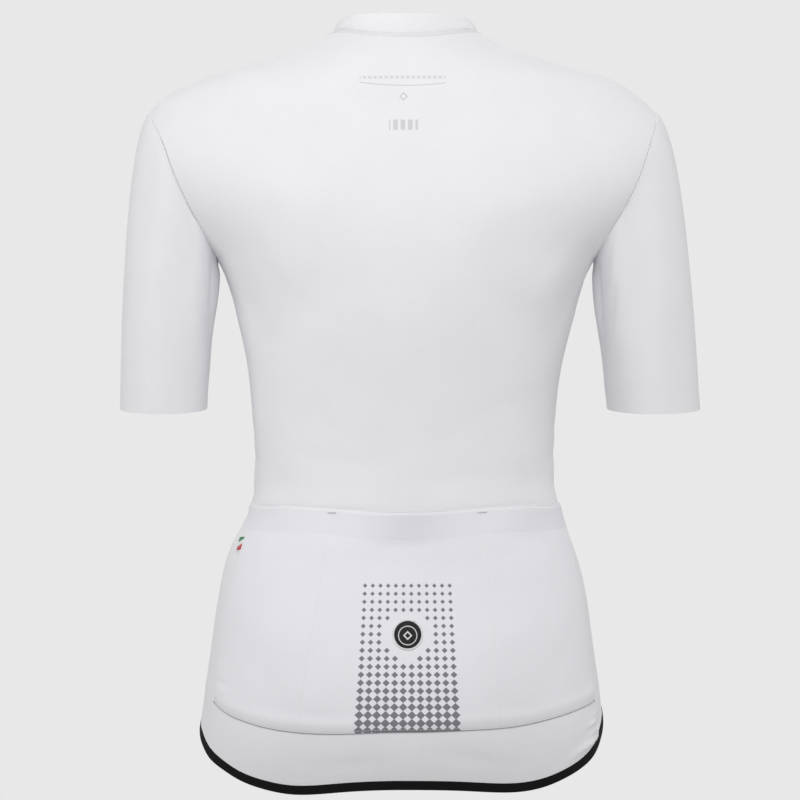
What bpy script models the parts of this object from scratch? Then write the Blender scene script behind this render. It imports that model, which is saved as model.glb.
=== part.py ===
"""Cycling jersey: short sleeves, stand collar, full front zip, three back pockets under one elastic band.

Run it with blender --background --python part.py, or from Blender's text editor.

The jersey is filled out as on a wearer and hollow: neck, cuffs and hem are open. +Z is up, the front
faces -Y and +X is the wearer's left. The origin is between the shoulders, where the wearer holds it up.
Sizes and tables are in millimetres and become metres when a mesh is made, by * MM. Every panel is cut
from one body form: rings that are half ellipse at the back and half at the front. An angle on a ring runs
from 0 at the centre back over 90 at the wearer's left side to 180 at the centre front, and below 0 on the
wearer's right.
"""

import math
from collections import namedtuple

import bmesh
import bpy
import numpy as np
from mathutils import Matrix, Vector

NAME = "cycling_jersey"
MM = 0.001

# Cloth and how pieces meet
WALL = 1.2             # knit of body, sleeves and pockets
COLLAR_WALL = 1.5
BAND_WALL = 1.7        # elastic at the hem
TAPE_WALL = 0.9
SEAM_GAP = 0.3         # between pieces sewn edge to edge
LAY_GAP = 0.45         # between a piece and the panel that it lies on

# Heights of the cut
UNDERARM = -186.0
SHOULDER_TIP = -64.0
NECK = 2.5             # ridge of the shoulders where they meet the neck
NECK_SLOPE = -127.0    # rings start to lean towards the neck here
WAIST = -340.0
HEM_BAND = 7.8         # height of the elastic at the hem
BELOW_HEM = -640.0     # where the body form ends, under the lowest hem

# Body form: half widths of its rings up to the underarm
Width = namedtuple("Width", "z left right")
WIDTHS = [
    Width(BELOW_HEM, 168.0, 163.0),
    Width(-600.0, 170.0, 165.0),
    Width(-560.0, 168.5, 164.0),
    Width(-520.0, 162.5, 158.0),
    Width(-480.0, 157.0, 152.5),
    Width(-450.0, 151.8, 147.3),
    Width(-420.0, 142.3, 138.0),
    Width(-395.0, 129.5, 128.8),
    Width(-375.0, 125.6, 124.6),
    Width(-345.0, 124.9, 123.7),
    Width(-310.0, 127.0, 125.2),
    Width(-270.0, 131.4, 130.9),
    Width(-230.0, 140.2, 141.2),
    Width(-205.0, 147.2, 148.6),
    Width(UNDERARM, 156.5, 158.0),
]
# Half widths of the armhole seam, from the underarm to the shoulder tip
ARMHOLE = [
    Width(UNDERARM, 156.5, 158.0),
    Width(-166.0, 166.0, 168.5),
    Width(-148.0, 175.3, 178.5),
    Width(-127.0, 185.3, 189.0),
    Width(-109.0, 192.6, 196.0),
    Width(-90.0, 199.5, 201.8),
    Width(-77.0, 205.8, 205.9),
    Width(SHOULDER_TIP, 211.7, 208.2),
]
ARMHOLE_BACK = 49.0    # half depths of the armhole, seen from the side
ARMHOLE_FRONT = 46.0
# Half widths of the rings that shrink along the shoulder to the neck
SHOULDER = [
    Width(SHOULDER_TIP, 211.7, 208.2),
    Width(-57.3, 207.6, 202.4),
    Width(-50.6, 199.2, 195.0),
    Width(-44.0, 188.4, 186.4),
    Width(-37.4, 172.5, 176.0),
    Width(-30.7, 154.5, 157.0),
    Width(-24.1, 131.5, 132.5),
    Width(-17.4, 109.5, 110.5),
    Width(-10.8, 90.0, 91.0),
    Width(-4.2, 75.5, 76.5),
    Width(NECK, 60.5, 61.0),
]
# Half depths of every ring, and the power of its ellipse: 2 is a true one, more is squarer
Depth = namedtuple("Depth", "z back front power")
DEPTHS = [
    Depth(BELOW_HEM, 96.0, 104.0, 2.2),
    Depth(-614.0, 108.0, 104.6, 2.2),
    Depth(-600.0, 114.0, 105.0, 2.2),
    Depth(-582.0, 119.5, 105.5, 2.2),
    Depth(-560.0, 122.5, 106.0, 2.2),
    Depth(-520.0, 118.0, 106.0, 2.2),
    Depth(-480.0, 108.0, 105.0, 2.2),
    Depth(-450.0, 99.0, 103.0, 2.2),
    Depth(-420.0, 90.0, 100.0, 2.2),
    Depth(-390.0, 82.0, 97.0, 2.2),
    Depth(-350.0, 78.5, 95.5, 2.2),
    Depth(-310.0, 80.5, 98.5, 2.2),
    Depth(-270.0, 86.0, 109.0, 2.2),
    Depth(-230.0, 92.0, 124.0, 2.2),
    Depth(-205.0, 94.5, 129.5, 2.2),
    Depth(UNDERARM, 95.5, 128.0, 2.2),
    Depth(-160.0, 95.0, 117.0, 2.2),
    Depth(-127.0, 91.5, 100.5, 2.2),
    Depth(-100.0, 86.5, 89.0, 2.2),
    Depth(-77.0, 80.5, 80.5, 2.15),
    Depth(SHOULDER_TIP, 76.5, 76.0, 2.1),
    Depth(-44.0, 71.0, 70.0, 2.05),
    Depth(-24.0, 64.5, 65.3, 2.0),
    Depth(-8.0, 56.5, 62.2, 2.0),
    Depth(NECK, 48.5, 60.5, 2.0),
]
# Heights of the neck seam and of the collar's top edge round the neck, the same on both sides
NeckLine = namedtuple("NeckLine", "angle seam top")
NECK_LINES = [
    NeckLine(0.0, -3.0, 13.5),
    NeckLine(30.0, -1.0, 13.8),
    NeckLine(60.0, 2.5, 12.5),
    NeckLine(75.0, 0.5, 10.5),
    NeckLine(90.0, -4.0, 6.5),
    NeckLine(120.0, -23.0, -7.5),
    NeckLine(150.0, -42.0, -23.5),
    NeckLine(180.0, -52.0, -32.0),
]
COLLAR_TOP_WIDTH = 57.0
COLLAR_TOP_BACK = 47.0
COLLAR_TOP_FRONT = 58.5
# Lines round the body below the waist. The hem's tail is a little fuller on the wearer's left
BodyLine = namedtuple(
    "BodyLine", "angle hem_left hem_right pocket_foot_left pocket_foot_right band_foot band_top")
BODY_LINES = [
    BodyLine(0.0, -616.0, -616.0, -568.0, -568.0, -417.7, -397.0),
    BodyLine(15.0, -618.2, -617.2, -569.8, -566.9, -415.5, -393.5),
    BodyLine(30.0, -621.2, -619.3, -569.2, -564.8, -411.9, -390.8),
    BodyLine(40.0, -618.0, -616.6, -566.4, -561.3, -411.4, -390.6),
    BodyLine(50.0, -612.0, -610.0, -561.8, -557.2, -411.2, -390.8),
    BodyLine(60.0, -603.6, -602.0, -555.8, -553.2, -410.5, -390.6),
    BodyLine(70.0, -595.4, -592.0, -547.8, -549.4, -409.5, -389.5),
    BodyLine(80.0, -584.6, -578.5, -543.0, -545.0, -408.5, -388.5),
    BodyLine(90.0, -577.0, -568.0, -541.0, -541.0, -408.0, -388.0),
    BodyLine(105.0, -560.5, -556.0, -534.0, -534.0, -408.0, -388.0),
    BodyLine(130.0, -549.0, -548.0, -523.0, -523.0, -408.0, -388.0),
    BodyLine(180.0, -543.5, -543.5, -515.0, -515.0, -408.0, -388.0),
]
# Angle of the side seam: it leaves the side line below the waist and runs down behind the hip
SideSeam = namedtuple("SideSeam", "z left right")
SIDE_SEAMS = [
    SideSeam(BELOW_HEM, 67.0, 70.0),
    SideSeam(-550.0, 68.2, 71.8),
    SideSeam(-519.0, 70.2, 74.5),
    SideSeam(-490.0, 72.0, 75.0),
    SideSeam(-460.0, 70.0, 75.3),
    SideSeam(-440.0, 68.0, 75.8),
    SideSeam(-425.0, 69.0, 79.0),
    SideSeam(-406.0, 75.5, 83.0),
    SideSeam(-386.0, 84.0, 86.5),
    SideSeam(-350.0, 88.5, 88.5),
    SideSeam(UNDERARM, 90.0, 90.0),
]
# Largest folds: soft troughs (depth below 0) and swells in the cloth, each along a slanted line on the body.
# The first four swell over the shoulder blades
Fold = namedtuple("Fold", "angle z length slant width depth")
FOLDS = [
    Fold(22.0, -146.0, 30.0, -20.0, 38.0, 3.2),
    Fold(-22.0, -148.0, 30.0, 20.0, 38.0, 3.2),
    Fold(41.0, -193.0, 24.0, -30.0, 25.0, 3.2),
    Fold(-48.0, -203.0, 24.0, 30.0, 26.0, 3.4),
    Fold(66.0, -222.0, 46.0, 52.0, 17.0, -1.6),
    Fold(-68.0, -226.0, 44.0, -50.0, 17.0, -1.4),
    Fold(112.0, -226.0, 50.0, -48.0, 18.0, -2.0),
    Fold(-110.0, -222.0, 52.0, 46.0, 18.0, -1.8),
    Fold(54.0, -372.0, 40.0, 8.0, 15.0, -1.3),
    Fold(-56.0, -370.0, 42.0, -7.0, 15.0, -1.4),
    Fold(128.0, -366.0, 44.0, -9.0, 16.0, -1.7),
    Fold(-131.0, -372.0, 40.0, 11.0, 16.0, -1.6),
    Fold(-79.0, -566.0, 34.0, -34.0, 16.0, -1.6),
    Fold(78.0, -560.0, 30.0, 28.0, 15.0, -1.3),
]

# Sleeves: the cuff is an oval ring, square to an arm that hangs a little forward
Cuff = namedtuple("Cuff", "centre half_width splay")
CUFFS = {"left": Cuff(201.4, 35.2, 2.0), "right": Cuff(207.4, 37.7, 5.0)}
CUFF_FORWARD = 18.0
CUFF_HEIGHT = -310.0
CUFF_HALF_DEPTH = 45.0
ARM_TILT = 6.0         # degrees
SLEEVE_RUNS = [0.0, 0.035, 0.12, 0.24, 0.37, 0.5, 0.63, 0.76, 0.88, 1.0]
UNDERARM_LEAN = 0.05   # how far out the sleeve's inner side starts, for each unit down
SLEEVE_LEAVE = 0.45    # how long the cloth keeps its direction at the armhole, and at the cuff
SLEEVE_ARRIVE = 0.9
TIP_DROP = 0.35        # how soon the sleeve turns down at the shoulder's tip, and how much shorter it leaves there
TIP_SHORTER = 0.09
SLEEVE_SWELL = 2.8     # how far the sleeve's outer side swells out, most at a third of its length
SLEEVE_SET_BACK = 0.3  # the sleeve's own gap at the armhole, where the cloth bends over the seam
CREASE_LOW = -172.0    # the cloth folds sharply at the armhole below this height
CREASE_HIGH = -138.0   # and runs smoothly across the seam above this one

# Back pockets
POCKET_EASE = 1.6      # how far the pockets' mouths stand off the back
BADGE_X = -2.0
BADGE_Z = -491.5
BADGE_RADIUS = 11.5
BADGE_WALL = 0.8
TAG_ANGLE = 67.6
TAG_Z = -421.5
TAG_WIDTH = 6.2
TAG_HEIGHT = 11.5
TAG_WALL = 0.8
TAG_TILT = 6.0         # degrees
TAG_OUT = 2.0          # from the body form to the tag's inner face

# Neck tape
NECK_TAPE_WIDTH = 4.2
NECK_TAPE_END = 86.0   # degrees
NECK_TAPE_SET_BACK = 0.6

# Front zip
ZIP_EDGE = 3.2         # from the centre line to the edge of each front
TAPE_HALF_WIDTH = 6.5
TAPE_SPLIT = 0.3       # from the centre line to each tape
TEETH_HALF_WIDTH = 2.0
TEETH_OUT = 0.2        # how far the teeth stand proud of the fronts
TEETH_WALL = 1.5
SLIDER_BELOW_TOP = 6.5
SLIDER_SIZE = (7.0, 1.2, 9.0)
BRIDGE_SIZE = (1.6, 2.4, 7.0)
BRIDGE_BAR = 0.8
TAB_SIZE = (5.0, 0.9, 13.4)
TAB_SLOT = (2.5, 4.0)
TAB_HOLE = (2.2, 3.6)

# How each grid is divided
BACK_STEPS = [0.0, 0.1, 0.2, 0.3, 0.4, 0.5, 0.6, 0.7, 0.8, 0.89, 0.965, 1.0]
FRONT_STEPS = [0.0, 0.035, 0.11, 0.21, 0.32, 0.43, 0.54, 0.65, 0.76, 0.88, 1.0]
TAIL_ROWS = 2
POCKET_ROWS = 6
WAIST_ROWS = 2
CHEST_ROWS = 7
ARMHOLE_ROWS = 10
SHOULDER_ROWS = 9
COLLAR_ROWS = 2
BADGE_SIDES = 28

CLOTH_WHITE = (0.86, 0.86, 0.88)
TRIM_WHITE = (0.80, 0.80, 0.83)
ELASTIC_BLACK = (0.012, 0.012, 0.013)
BADGE_DARK = (0.03, 0.03, 0.033)
TAG_GREEN = (0.02, 0.30, 0.10)
ZIP_METAL = (0.62, 0.62, 0.64)


def spline(xs, ys):
    """A smooth curve through the points: a natural cubic spline, as a function."""
    xs, ys = np.array(xs, float), np.array(ys, float)
    steps = np.diff(xs)
    slopes = np.diff(ys) / steps
    system = np.eye(len(xs))
    right = np.zeros(len(xs))
    for i in range(1, len(xs) - 1):
        system[i, i - 1:i + 2] = steps[i - 1], 2 * (steps[i - 1] + steps[i]), steps[i]
        right[i] = 6 * (slopes[i] - slopes[i - 1])
    bends = np.linalg.solve(system, right)

    def value(x):
        i = int(np.clip(np.searchsorted(xs, x) - 1, 0, len(steps) - 1))
        step, ahead, behind = steps[i], xs[i + 1] - x, x - xs[i]
        curved = (bends[i] * ahead ** 3 + bends[i + 1] * behind ** 3) / (6 * step)
        low, high = ys[i] / step - bends[i] * step / 6, ys[i + 1] / step - bends[i + 1] * step / 6
        return float(curved + low * ahead + high * behind)

    return value


def column(rows, key, name):
    """The spline of one column of a table over another."""
    return spline([getattr(row, key) for row in rows], [getattr(row, name) for row in rows])


def round_body(rows, name):
    """The spline of a line round the body, the same on both sides and level at the centre back and front."""
    angles = [row.angle for row in rows]
    values = [getattr(row, name) for row in rows]
    around = spline(
        [-a for a in angles[3:0:-1]] + angles + [360 - a for a in angles[-2:-5:-1]],
        values[3:0:-1] + values + values[-2:-5:-1],
    )
    return lambda angle: around(abs(angle))


def fold_in(a, b, t):
    """The share, from 0 to 1, that eases in as t goes from a to b."""
    share = min(max((t - a) / (b - a), 0.0), 1.0)
    return share * share * (3 - 2 * share)


def side_of(angle):
    return "left" if angle >= 0 else "right"


width_low = {side: column(WIDTHS, "z", side) for side in ("left", "right")}
width_armhole = {side: column(ARMHOLE, "z", side) for side in ("left", "right")}
width_shoulder = {side: column(SHOULDER, "z", side) for side in ("left", "right")}
side_seam = {side: column(SIDE_SEAMS, "z", side) for side in ("left", "right")}
depth = {half: column(DEPTHS, "z", half) for half in ("back", "front")}
power = column(DEPTHS, "z", "power")
neck_seam = round_body(NECK_LINES, "seam")
collar_top = round_body(NECK_LINES, "top")
body_line = {name: round_body(BODY_LINES, name) for name in BodyLine._fields[1:]}


def hem(angle):
    return body_line["hem_" + side_of(angle)](angle)


def pocket_foot(angle):
    return body_line["pocket_foot_" + side_of(angle)](angle)


def half_of(angle):
    return "back" if abs(angle) <= 90 else "front"


def armhole_height(share):
    """Height of the armhole seam, for a share that goes evenly round it from the underarm to the tip."""
    return UNDERARM + (SHOULDER_TIP - UNDERARM) * (1 - math.cos(math.pi * share)) / 2


def armhole_depth(z, half):
    """How far behind or before the side line the armhole seam lies at a height."""
    share = (z - UNDERARM) / (SHOULDER_TIP - UNDERARM)
    return (ARMHOLE_BACK if half == "back" else ARMHOLE_FRONT) * 2 * math.sqrt(max(share * (1 - share), 0.0))


def half_width(z, side, half):
    """Half width of a ring. Beside the armhole the ring is as wide as brings it through the seam."""
    if z <= UNDERARM:
        return width_low[side](z)
    if z >= SHOULDER_TIP:
        return width_shoulder[side](z)
    p = power(z)
    reach = armhole_depth(z, half) / depth[half](z)
    return width_armhole[side](z) / (1 - reach ** p) ** (1 / p)


def angle_at(x, z, side, half):
    """Angle, without its sign, at which a ring is x from the centre line."""
    share = min(x / half_width(z, side, half), 1.0)
    turn = math.degrees(math.asin(share ** (power(z) / 2)))
    return turn if half == "back" else 180 - turn


def seam_angle(z, side, half):
    """Angle, without its sign, of the seam that ends the back or a front panel at a height."""
    if z <= UNDERARM:
        return side_seam[side](z)
    if z >= SHOULDER_TIP:
        return 90.0
    return angle_at(width_armhole[side](z), z, side, half)


def fold_depth(angle, z):
    """Sum of the folds at a place on the body, in millimetres outwards."""
    total = 0.0
    for fold in FOLDS:
        across = math.radians(angle - fold.angle) * 120.0
        up = z - fold.z
        slant = math.radians(fold.slant)
        along = across * math.cos(slant) + up * math.sin(slant)
        aside = up * math.cos(slant) - across * math.sin(slant)
        total += fold.depth * math.exp(-(along / fold.length) ** 2 - (aside / fold.width) ** 2)
    return total


def body(angle, z):
    """A point on the outside of the body form. Over NECK_SLOPE the rings sink towards the neck's low front."""
    side, half = side_of(angle), half_of(angle)
    wide, deep, p = half_width(z, side, half), depth[half](z), power(z)
    sine, cosine = math.sin(math.radians(angle)), math.cos(math.radians(angle))
    x = wide * math.copysign(abs(sine) ** (2 / p), sine)
    y = deep * math.copysign(abs(cosine) ** (2 / p), cosine)
    out = Vector((x / wide ** 2, y / deep ** 2, 0)).normalized()
    rise = max((z - NECK_SLOPE) / (NECK - NECK_SLOPE), 0.0)
    height = z + (neck_seam(angle) - NECK) * rise ** 1.6
    return Vector((x, y, height)) + out * fold_depth(angle, z)


def collar(angle, share):
    """A point on the outside of the collar, from its seam at 0 to its top edge at 1."""
    foot = body(angle, NECK)
    turn = math.radians(angle)
    deep = COLLAR_TOP_BACK if half_of(angle) == "back" else COLLAR_TOP_FRONT
    top = Vector((COLLAR_TOP_WIDTH * math.sin(turn), deep * math.cos(turn), collar_top(angle)))
    middle = (foot + top) / 2
    middle += Vector((middle.x, middle.y, 0)).normalized() * 0.8
    bow = 2 * middle - (foot + top) / 2
    return foot * (1 - share) ** 2 + bow * 2 * share * (1 - share) + top * share ** 2


def outward(surface, angle, z, d_angle=0.4, d_z=0.4):
    """Unit normal of a surface that is a function of angle and z or share."""
    across = surface(angle + d_angle, z) - surface(angle - d_angle, z)
    up = surface(angle, z + d_z) - surface(angle, z - d_z)
    return up.cross(across).normalized()


def raised(surface, angle, z, height, **steps):
    """A point moved out from a surface."""
    return surface(angle, z) + outward(surface, angle, z, **steps) * height


def spread(start, end, count):
    """The numbers that divide a stretch evenly, without its start."""
    return [start + (end - start) * i / count for i in range(1, count + 1)]


def levels(angle):
    """Heights of the rows of a panel, from over the hem band to the neck, in the column at an angle."""
    band_foot, band_top = body_line["band_foot"](angle), body_line["band_top"](angle)
    rows = [hem(angle) + HEM_BAND]
    rows += spread(rows[0], pocket_foot(angle), TAIL_ROWS)
    rows += spread(pocket_foot(angle), band_foot, POCKET_ROWS)
    rows += [band_top]
    rows += spread(band_top, WAIST, WAIST_ROWS)
    rows += spread(WAIST, UNDERARM, CHEST_ROWS)
    rows += [armhole_height(i / ARMHOLE_ROWS) for i in range(1, ARMHOLE_ROWS + 1)]
    rows += spread(SHOULDER_TIP, NECK, SHOULDER_ROWS)
    return rows


POCKET_FOOT_ROW = TAIL_ROWS
BAND_FOOT_ROW = TAIL_ROWS + POCKET_ROWS
BAND_TOP_ROW = BAND_FOOT_ROW + 1
ROW_COUNT = len(levels(0.0))


def settle(angle_of, row):
    """Angle and height of a grid point whose column's angle depends on the height."""
    angle = angle_of(levels(90.0)[row])
    for _ in range(6):
        z = levels(angle)[row]
        angle = angle_of(z)
    return angle, z


def back_places():
    """Angle and height of every grid point of the back, row by row, from the wearer's right to the left."""
    steps = [("right", -s) for s in BACK_STEPS[:0:-1]] + [("left", s) for s in BACK_STEPS]
    return [
        [settle(lambda z, side=side, s=s: s * seam_angle(z, side, "back"), row) for side, s in steps]
        for row in range(ROW_COUNT)
    ]


def front_places(side):
    """Angle and height of every grid point of a front, row by row, from the side to the zip."""
    sign = 1 if side == "left" else -1

    def angle_of(z, s):
        start, end = seam_angle(z, side, "front"), angle_at(ZIP_EDGE, z, side, "front")
        return sign * (start + (end - start) * s)

    return [
        [settle(lambda z, s=s: angle_of(z, s), row) for s in FRONT_STEPS]
        for row in range(ROW_COUNT)
    ]


def draw_back(bm, distance):
    """Moves the open edges back along the cloth, so that pieces sewn edge to edge don't touch."""
    bm.normal_update()
    shifts = {}
    for edge in bm.edges:
        if not edge.is_boundary:
            continue
        face = edge.link_faces[0]
        inwards = face.normal.cross(edge.verts[1].co - edge.verts[0].co).normalized()
        if inwards.dot(face.calc_center_median() - edge.verts[0].co) < 0:
            inwards.negate()
        for vert in edge.verts:
            shifts.setdefault(vert, []).append(inwards)
    for vert, (one, other) in shifts.items():
        vert.co += (one + other) * distance / (1 + one.dot(other))


def material(name, color, roughness, metallic=0.0):
    """A Principled material, made once for each name."""
    made = bpy.data.materials.get(name) or bpy.data.materials.new(name)
    made.use_nodes = True
    shader = made.node_tree.nodes["Principled BSDF"]
    shader.inputs["Base Color"].default_value = (*color, 1.0)
    shader.inputs["Roughness"].default_value = roughness
    shader.inputs["Metallic"].default_value = metallic
    return made


def place(name, mesh, finish):
    """Puts a mesh in the jersey's collection as a named object, shaded smooth between its sharp edges."""
    mesh.name = name
    mesh.shade_smooth()
    mesh.set_sharp_from_angle(angle=math.radians(40))
    mesh.materials.append(finish)
    piece = bpy.data.objects.new(name, mesh)
    bpy.data.collections[NAME].objects.link(piece)
    return piece


def cloth(name, rows, finish, wall=WALL, closed=False, flip=False, set_back=SEAM_GAP / 2):
    """A piece of cloth: a grid of points on its outer face, drawn back from its seams, its wall inside."""
    bm = bmesh.new()
    grid = [[bm.verts.new(point * MM) for point in row] for row in rows]
    count = len(rows[0])
    for low, high in zip(grid, grid[1:]):
        for i in range(count if closed else count - 1):
            j = (i + 1) % count
            corners = [low[i], high[i], high[j], low[j]]
            bm.faces.new(reversed(corners) if flip else corners)
    draw_back(bm, set_back * MM)
    bm.edges.index_update()
    rim = [edge.index for edge in bm.edges if edge.is_boundary]
    mesh = bpy.data.meshes.new(name)
    bm.to_mesh(mesh)
    bm.free()
    piece = place(name, mesh, finish)
    for i in rim:
        mesh.edges[i].use_edge_sharp = True
    solidify = piece.modifiers.new("Wall", "SOLIDIFY")
    solidify.thickness = wall * MM
    solidify.offset = -1.0
    return piece


def make_panels(finish):
    """Back and fronts, sewn at the sides and shoulders, with the armholes cut out between them."""
    cloth("back", [[body(*at) for at in row] for row in back_places()], finish)
    for side in ("left", "right"):
        rows = [[body(*at) for at in row] for row in front_places(side)]
        cloth("front_" + side, rows, finish, flip=side == "right")


def sleeve_rows(side):
    """Rings of points from the armhole to the cuff, each from the outer side over the back."""
    sign = 1 if side == "left" else -1
    cuff = CUFFS[side]
    tilt = math.radians(ARM_TILT)
    arm = Vector((sign * math.sin(math.radians(cuff.splay)), -math.sin(tilt), -math.cos(tilt))).normalized()
    rings = [[] for _ in SLEEVE_RUNS]
    for i in range(2 * ARMHOLE_ROWS):
        half = "back" if i < ARMHOLE_ROWS else "front"
        turn = math.pi * i / ARMHOLE_ROWS
        z = armhole_height(abs(i - ARMHOLE_ROWS) / ARMHOLE_ROWS)
        angle = sign * seam_angle(z, side, half)
        start = body(angle, z)
        end = Vector((
            sign * (cuff.centre + cuff.half_width * math.cos(turn)),
            -CUFF_FORWARD + CUFF_HALF_DEPTH * math.cos(tilt) * math.sin(turn),
            CUFF_HEIGHT - CUFF_HALF_DEPTH * math.sin(tilt) * math.sin(turn),
        ))
        chord = (end - start).length
        nudge = 0.6 if half == "back" else -0.6
        normal = outward(body, angle - sign * nudge, z)
        smooth = (arm - normal * arm.dot(normal)).normalized()
        folded = (arm + Vector((UNDERARM_LEAN * sign, 0.0, 0.0))).normalized()
        share = fold_in(CREASE_LOW, CREASE_HIGH, z)
        leave = (folded * (1 - share) + smooth * share + arm * TIP_DROP * fold_in(-110.0, -66.0, z)).normalized()
        leave *= chord * (SLEEVE_LEAVE - TIP_SHORTER * fold_in(-120.0, -70.0, z))
        arrive = arm * chord * SLEEVE_ARRIVE
        for ring, s in zip(rings, SLEEVE_RUNS):
            point = start * (2 * s ** 3 - 3 * s ** 2 + 1) + leave * (s ** 3 - 2 * s ** 2 + s)
            point += end * (3 * s ** 2 - 2 * s ** 3) + arrive * (s ** 3 - s ** 2)
            point.x += sign * SLEEVE_SWELL * 6.75 * s * (1 - s) ** 2 * (0.5 + 0.5 * math.cos(turn)) ** 2
            ring.append(point)
    return rings


def make_sleeves(finish):
    for side in ("left", "right"):
        rows = sleeve_rows(side)
        cloth("sleeve_" + side, rows, finish, closed=True, flip=side == "right", set_back=SLEEVE_SET_BACK)


def neck_angles():
    """Angles of the columns at the neck: right front, back, left front."""
    back = [at[0] for at in back_places()[-1]]
    left = [at[0] for at in front_places("left")[-1]]
    right = [at[0] for at in front_places("right")[-1]]
    return right[:0:-1] + back + left[1:]


def make_collar(cloth_finish, tape_finish):
    """The stand collar, open at the zip, and the tape that covers its seam at the back."""
    shares = [0.02] + spread(0.02, 1.0, COLLAR_ROWS)
    rows = [[collar(angle, s) for angle in neck_angles()] for s in shares]
    cloth("collar", rows, cloth_finish, COLLAR_WALL)
    angles = [a for a in neck_angles() if abs(a) <= NECK_TAPE_END]
    rows = []
    for edge in (1.0, 0.0):
        row = []
        for angle in angles:
            slope = (body(angle, NECK) - body(angle, NECK - 1)).length
            width = NECK_TAPE_WIDTH * (1 - 0.6 * (abs(angle) / NECK_TAPE_END) ** 4)
            z = NECK - (NECK_TAPE_SET_BACK + width * edge) / slope
            row.append(raised(body, angle, z, LAY_GAP + TAPE_WALL))
        rows.append(row)
    cloth("neck_tape", rows, tape_finish, TAPE_WALL)


def pocket(angle, z):
    """A point on the outside of the pockets, which stand off the back most at their mouths."""
    foot, mouth = pocket_foot(angle), body_line["band_foot"](angle)
    share = fold_in(0.35, 1.0, (z - foot) / (mouth - foot))
    ease = POCKET_EASE * share * math.cos(math.radians(angle)) ** 2
    return raised(body, angle, z, LAY_GAP + WALL + ease)


def make_pockets(cloth_finish, band_finish):
    """The pocket panel on the lower back and the elastic band along its top."""
    places = back_places()
    panel = places[POCKET_FOOT_ROW:BAND_FOOT_ROW + 1]
    cloth("pocket_panel", [[pocket(*at) for at in row] for row in panel], cloth_finish)
    band = []
    for foot, top in zip(places[BAND_FOOT_ROW], places[BAND_TOP_ROW]):
        middle = ((foot[0] + top[0]) / 2, (foot[1] + top[1]) / 2)
        band.append([pocket(*foot), pocket(*middle) + outward(body, *middle) * 0.3, pocket(*top)])
    cloth("pocket_band", list(zip(*band)), band_finish, WALL)


def make_hem_band(finish):
    """The elastic round the hem, open at the zip."""
    back = [at[0] for at in back_places()[0]]
    left = [at[0] for at in front_places("left")[0]]
    right = [at[0] for at in front_places("right")[0]]
    angles = right[:0:-1] + back + left[1:]
    rows = []
    for up in (0.0, HEM_BAND):
        rows.append([raised(body, angle, hem(angle) + up, 0.3) for angle in angles])
    cloth("hem_band", rows, finish, BAND_WALL)


def make_badge(finish):
    """A thin round patch on the middle pocket, bent to the pocket's surface."""
    def at(radius, turn):
        x = BADGE_X + radius * math.sin(turn)
        z = BADGE_Z + radius * math.cos(turn)
        side = "left" if x >= 0 else "right"
        angle = math.copysign(angle_at(abs(x), z, side, "back"), x)
        return pocket(angle, z) + outward(body, angle, z) * (LAY_GAP + BADGE_WALL)

    bm = bmesh.new()
    hub = bm.verts.new(at(0.0, 0.0) * MM)
    turns = [2 * math.pi * i / BADGE_SIDES for i in range(BADGE_SIDES)]
    inner = [bm.verts.new(at(BADGE_RADIUS * 0.6, turn) * MM) for turn in turns]
    outer = [bm.verts.new(at(BADGE_RADIUS, turn) * MM) for turn in turns]
    for i in range(BADGE_SIDES):
        j = (i + 1) % BADGE_SIDES
        bm.faces.new((hub, inner[i], inner[j]))
        bm.faces.new((inner[i], outer[i], outer[j], inner[j]))
    bm.normal_update()
    if sum((face.normal for face in bm.faces), Vector()).y < 0:
        bmesh.ops.reverse_faces(bm, faces=bm.faces)
    mesh = bpy.data.meshes.new("badge")
    bm.to_mesh(mesh)
    bm.free()
    wall = place("badge", mesh, finish).modifiers.new("Wall", "SOLIDIFY")
    wall.thickness = BADGE_WALL * MM
    wall.offset = -1.0


def block(name, size, centre, finish, frame, bevel=0.0):
    """A box in the axes of a frame, with its edges bevelled."""
    bm = bmesh.new()
    bmesh.ops.create_cube(bm, size=1.0)
    bmesh.ops.scale(bm, vec=Vector(size) * MM, verts=bm.verts)
    bmesh.ops.translate(bm, vec=Vector(centre) * MM, verts=bm.verts)
    mesh = bpy.data.meshes.new(name)
    bm.to_mesh(mesh)
    bm.free()
    piece = place(name, mesh, finish)
    piece.matrix_world = frame
    if bevel:
        rounded = piece.modifiers.new("Bevel", "BEVEL")
        rounded.width = bevel * MM
        rounded.segments = 2
    return piece


def cut(piece, cutter, operation="DIFFERENCE"):
    """A Boolean on a piece. The other shape goes with the cutters, and the build leaves it out."""
    bpy.data.collections[NAME].objects.unlink(cutter)
    bpy.data.collections["cutters"].objects.link(cutter)
    cutter.hide_render = True
    cutter.display_type = "WIRE"
    boolean = piece.modifiers.new(operation.title(), "BOOLEAN")
    boolean.operation = operation
    boolean.object = cutter


def make_side_tag(finish):
    """A folded flag tag, caught in the left side seam over the pockets."""
    out = outward(body, TAG_ANGLE, TAG_Z)
    up = Vector((0, 0, 1))
    up = (up - out * up.dot(out)).normalized()
    axes = Matrix((out.cross(up), out, up)).transposed().to_4x4()
    origin = Matrix.Translation(raised(body, TAG_ANGLE, TAG_Z, TAG_OUT) * MM)
    frame = origin @ axes @ Matrix.Rotation(math.radians(TAG_TILT), 4, "Y")
    block("side_tag", (TAG_WIDTH, TAG_WALL, TAG_HEIGHT), (0, TAG_WALL / 2, 0), finish, frame, 0.25)


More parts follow.
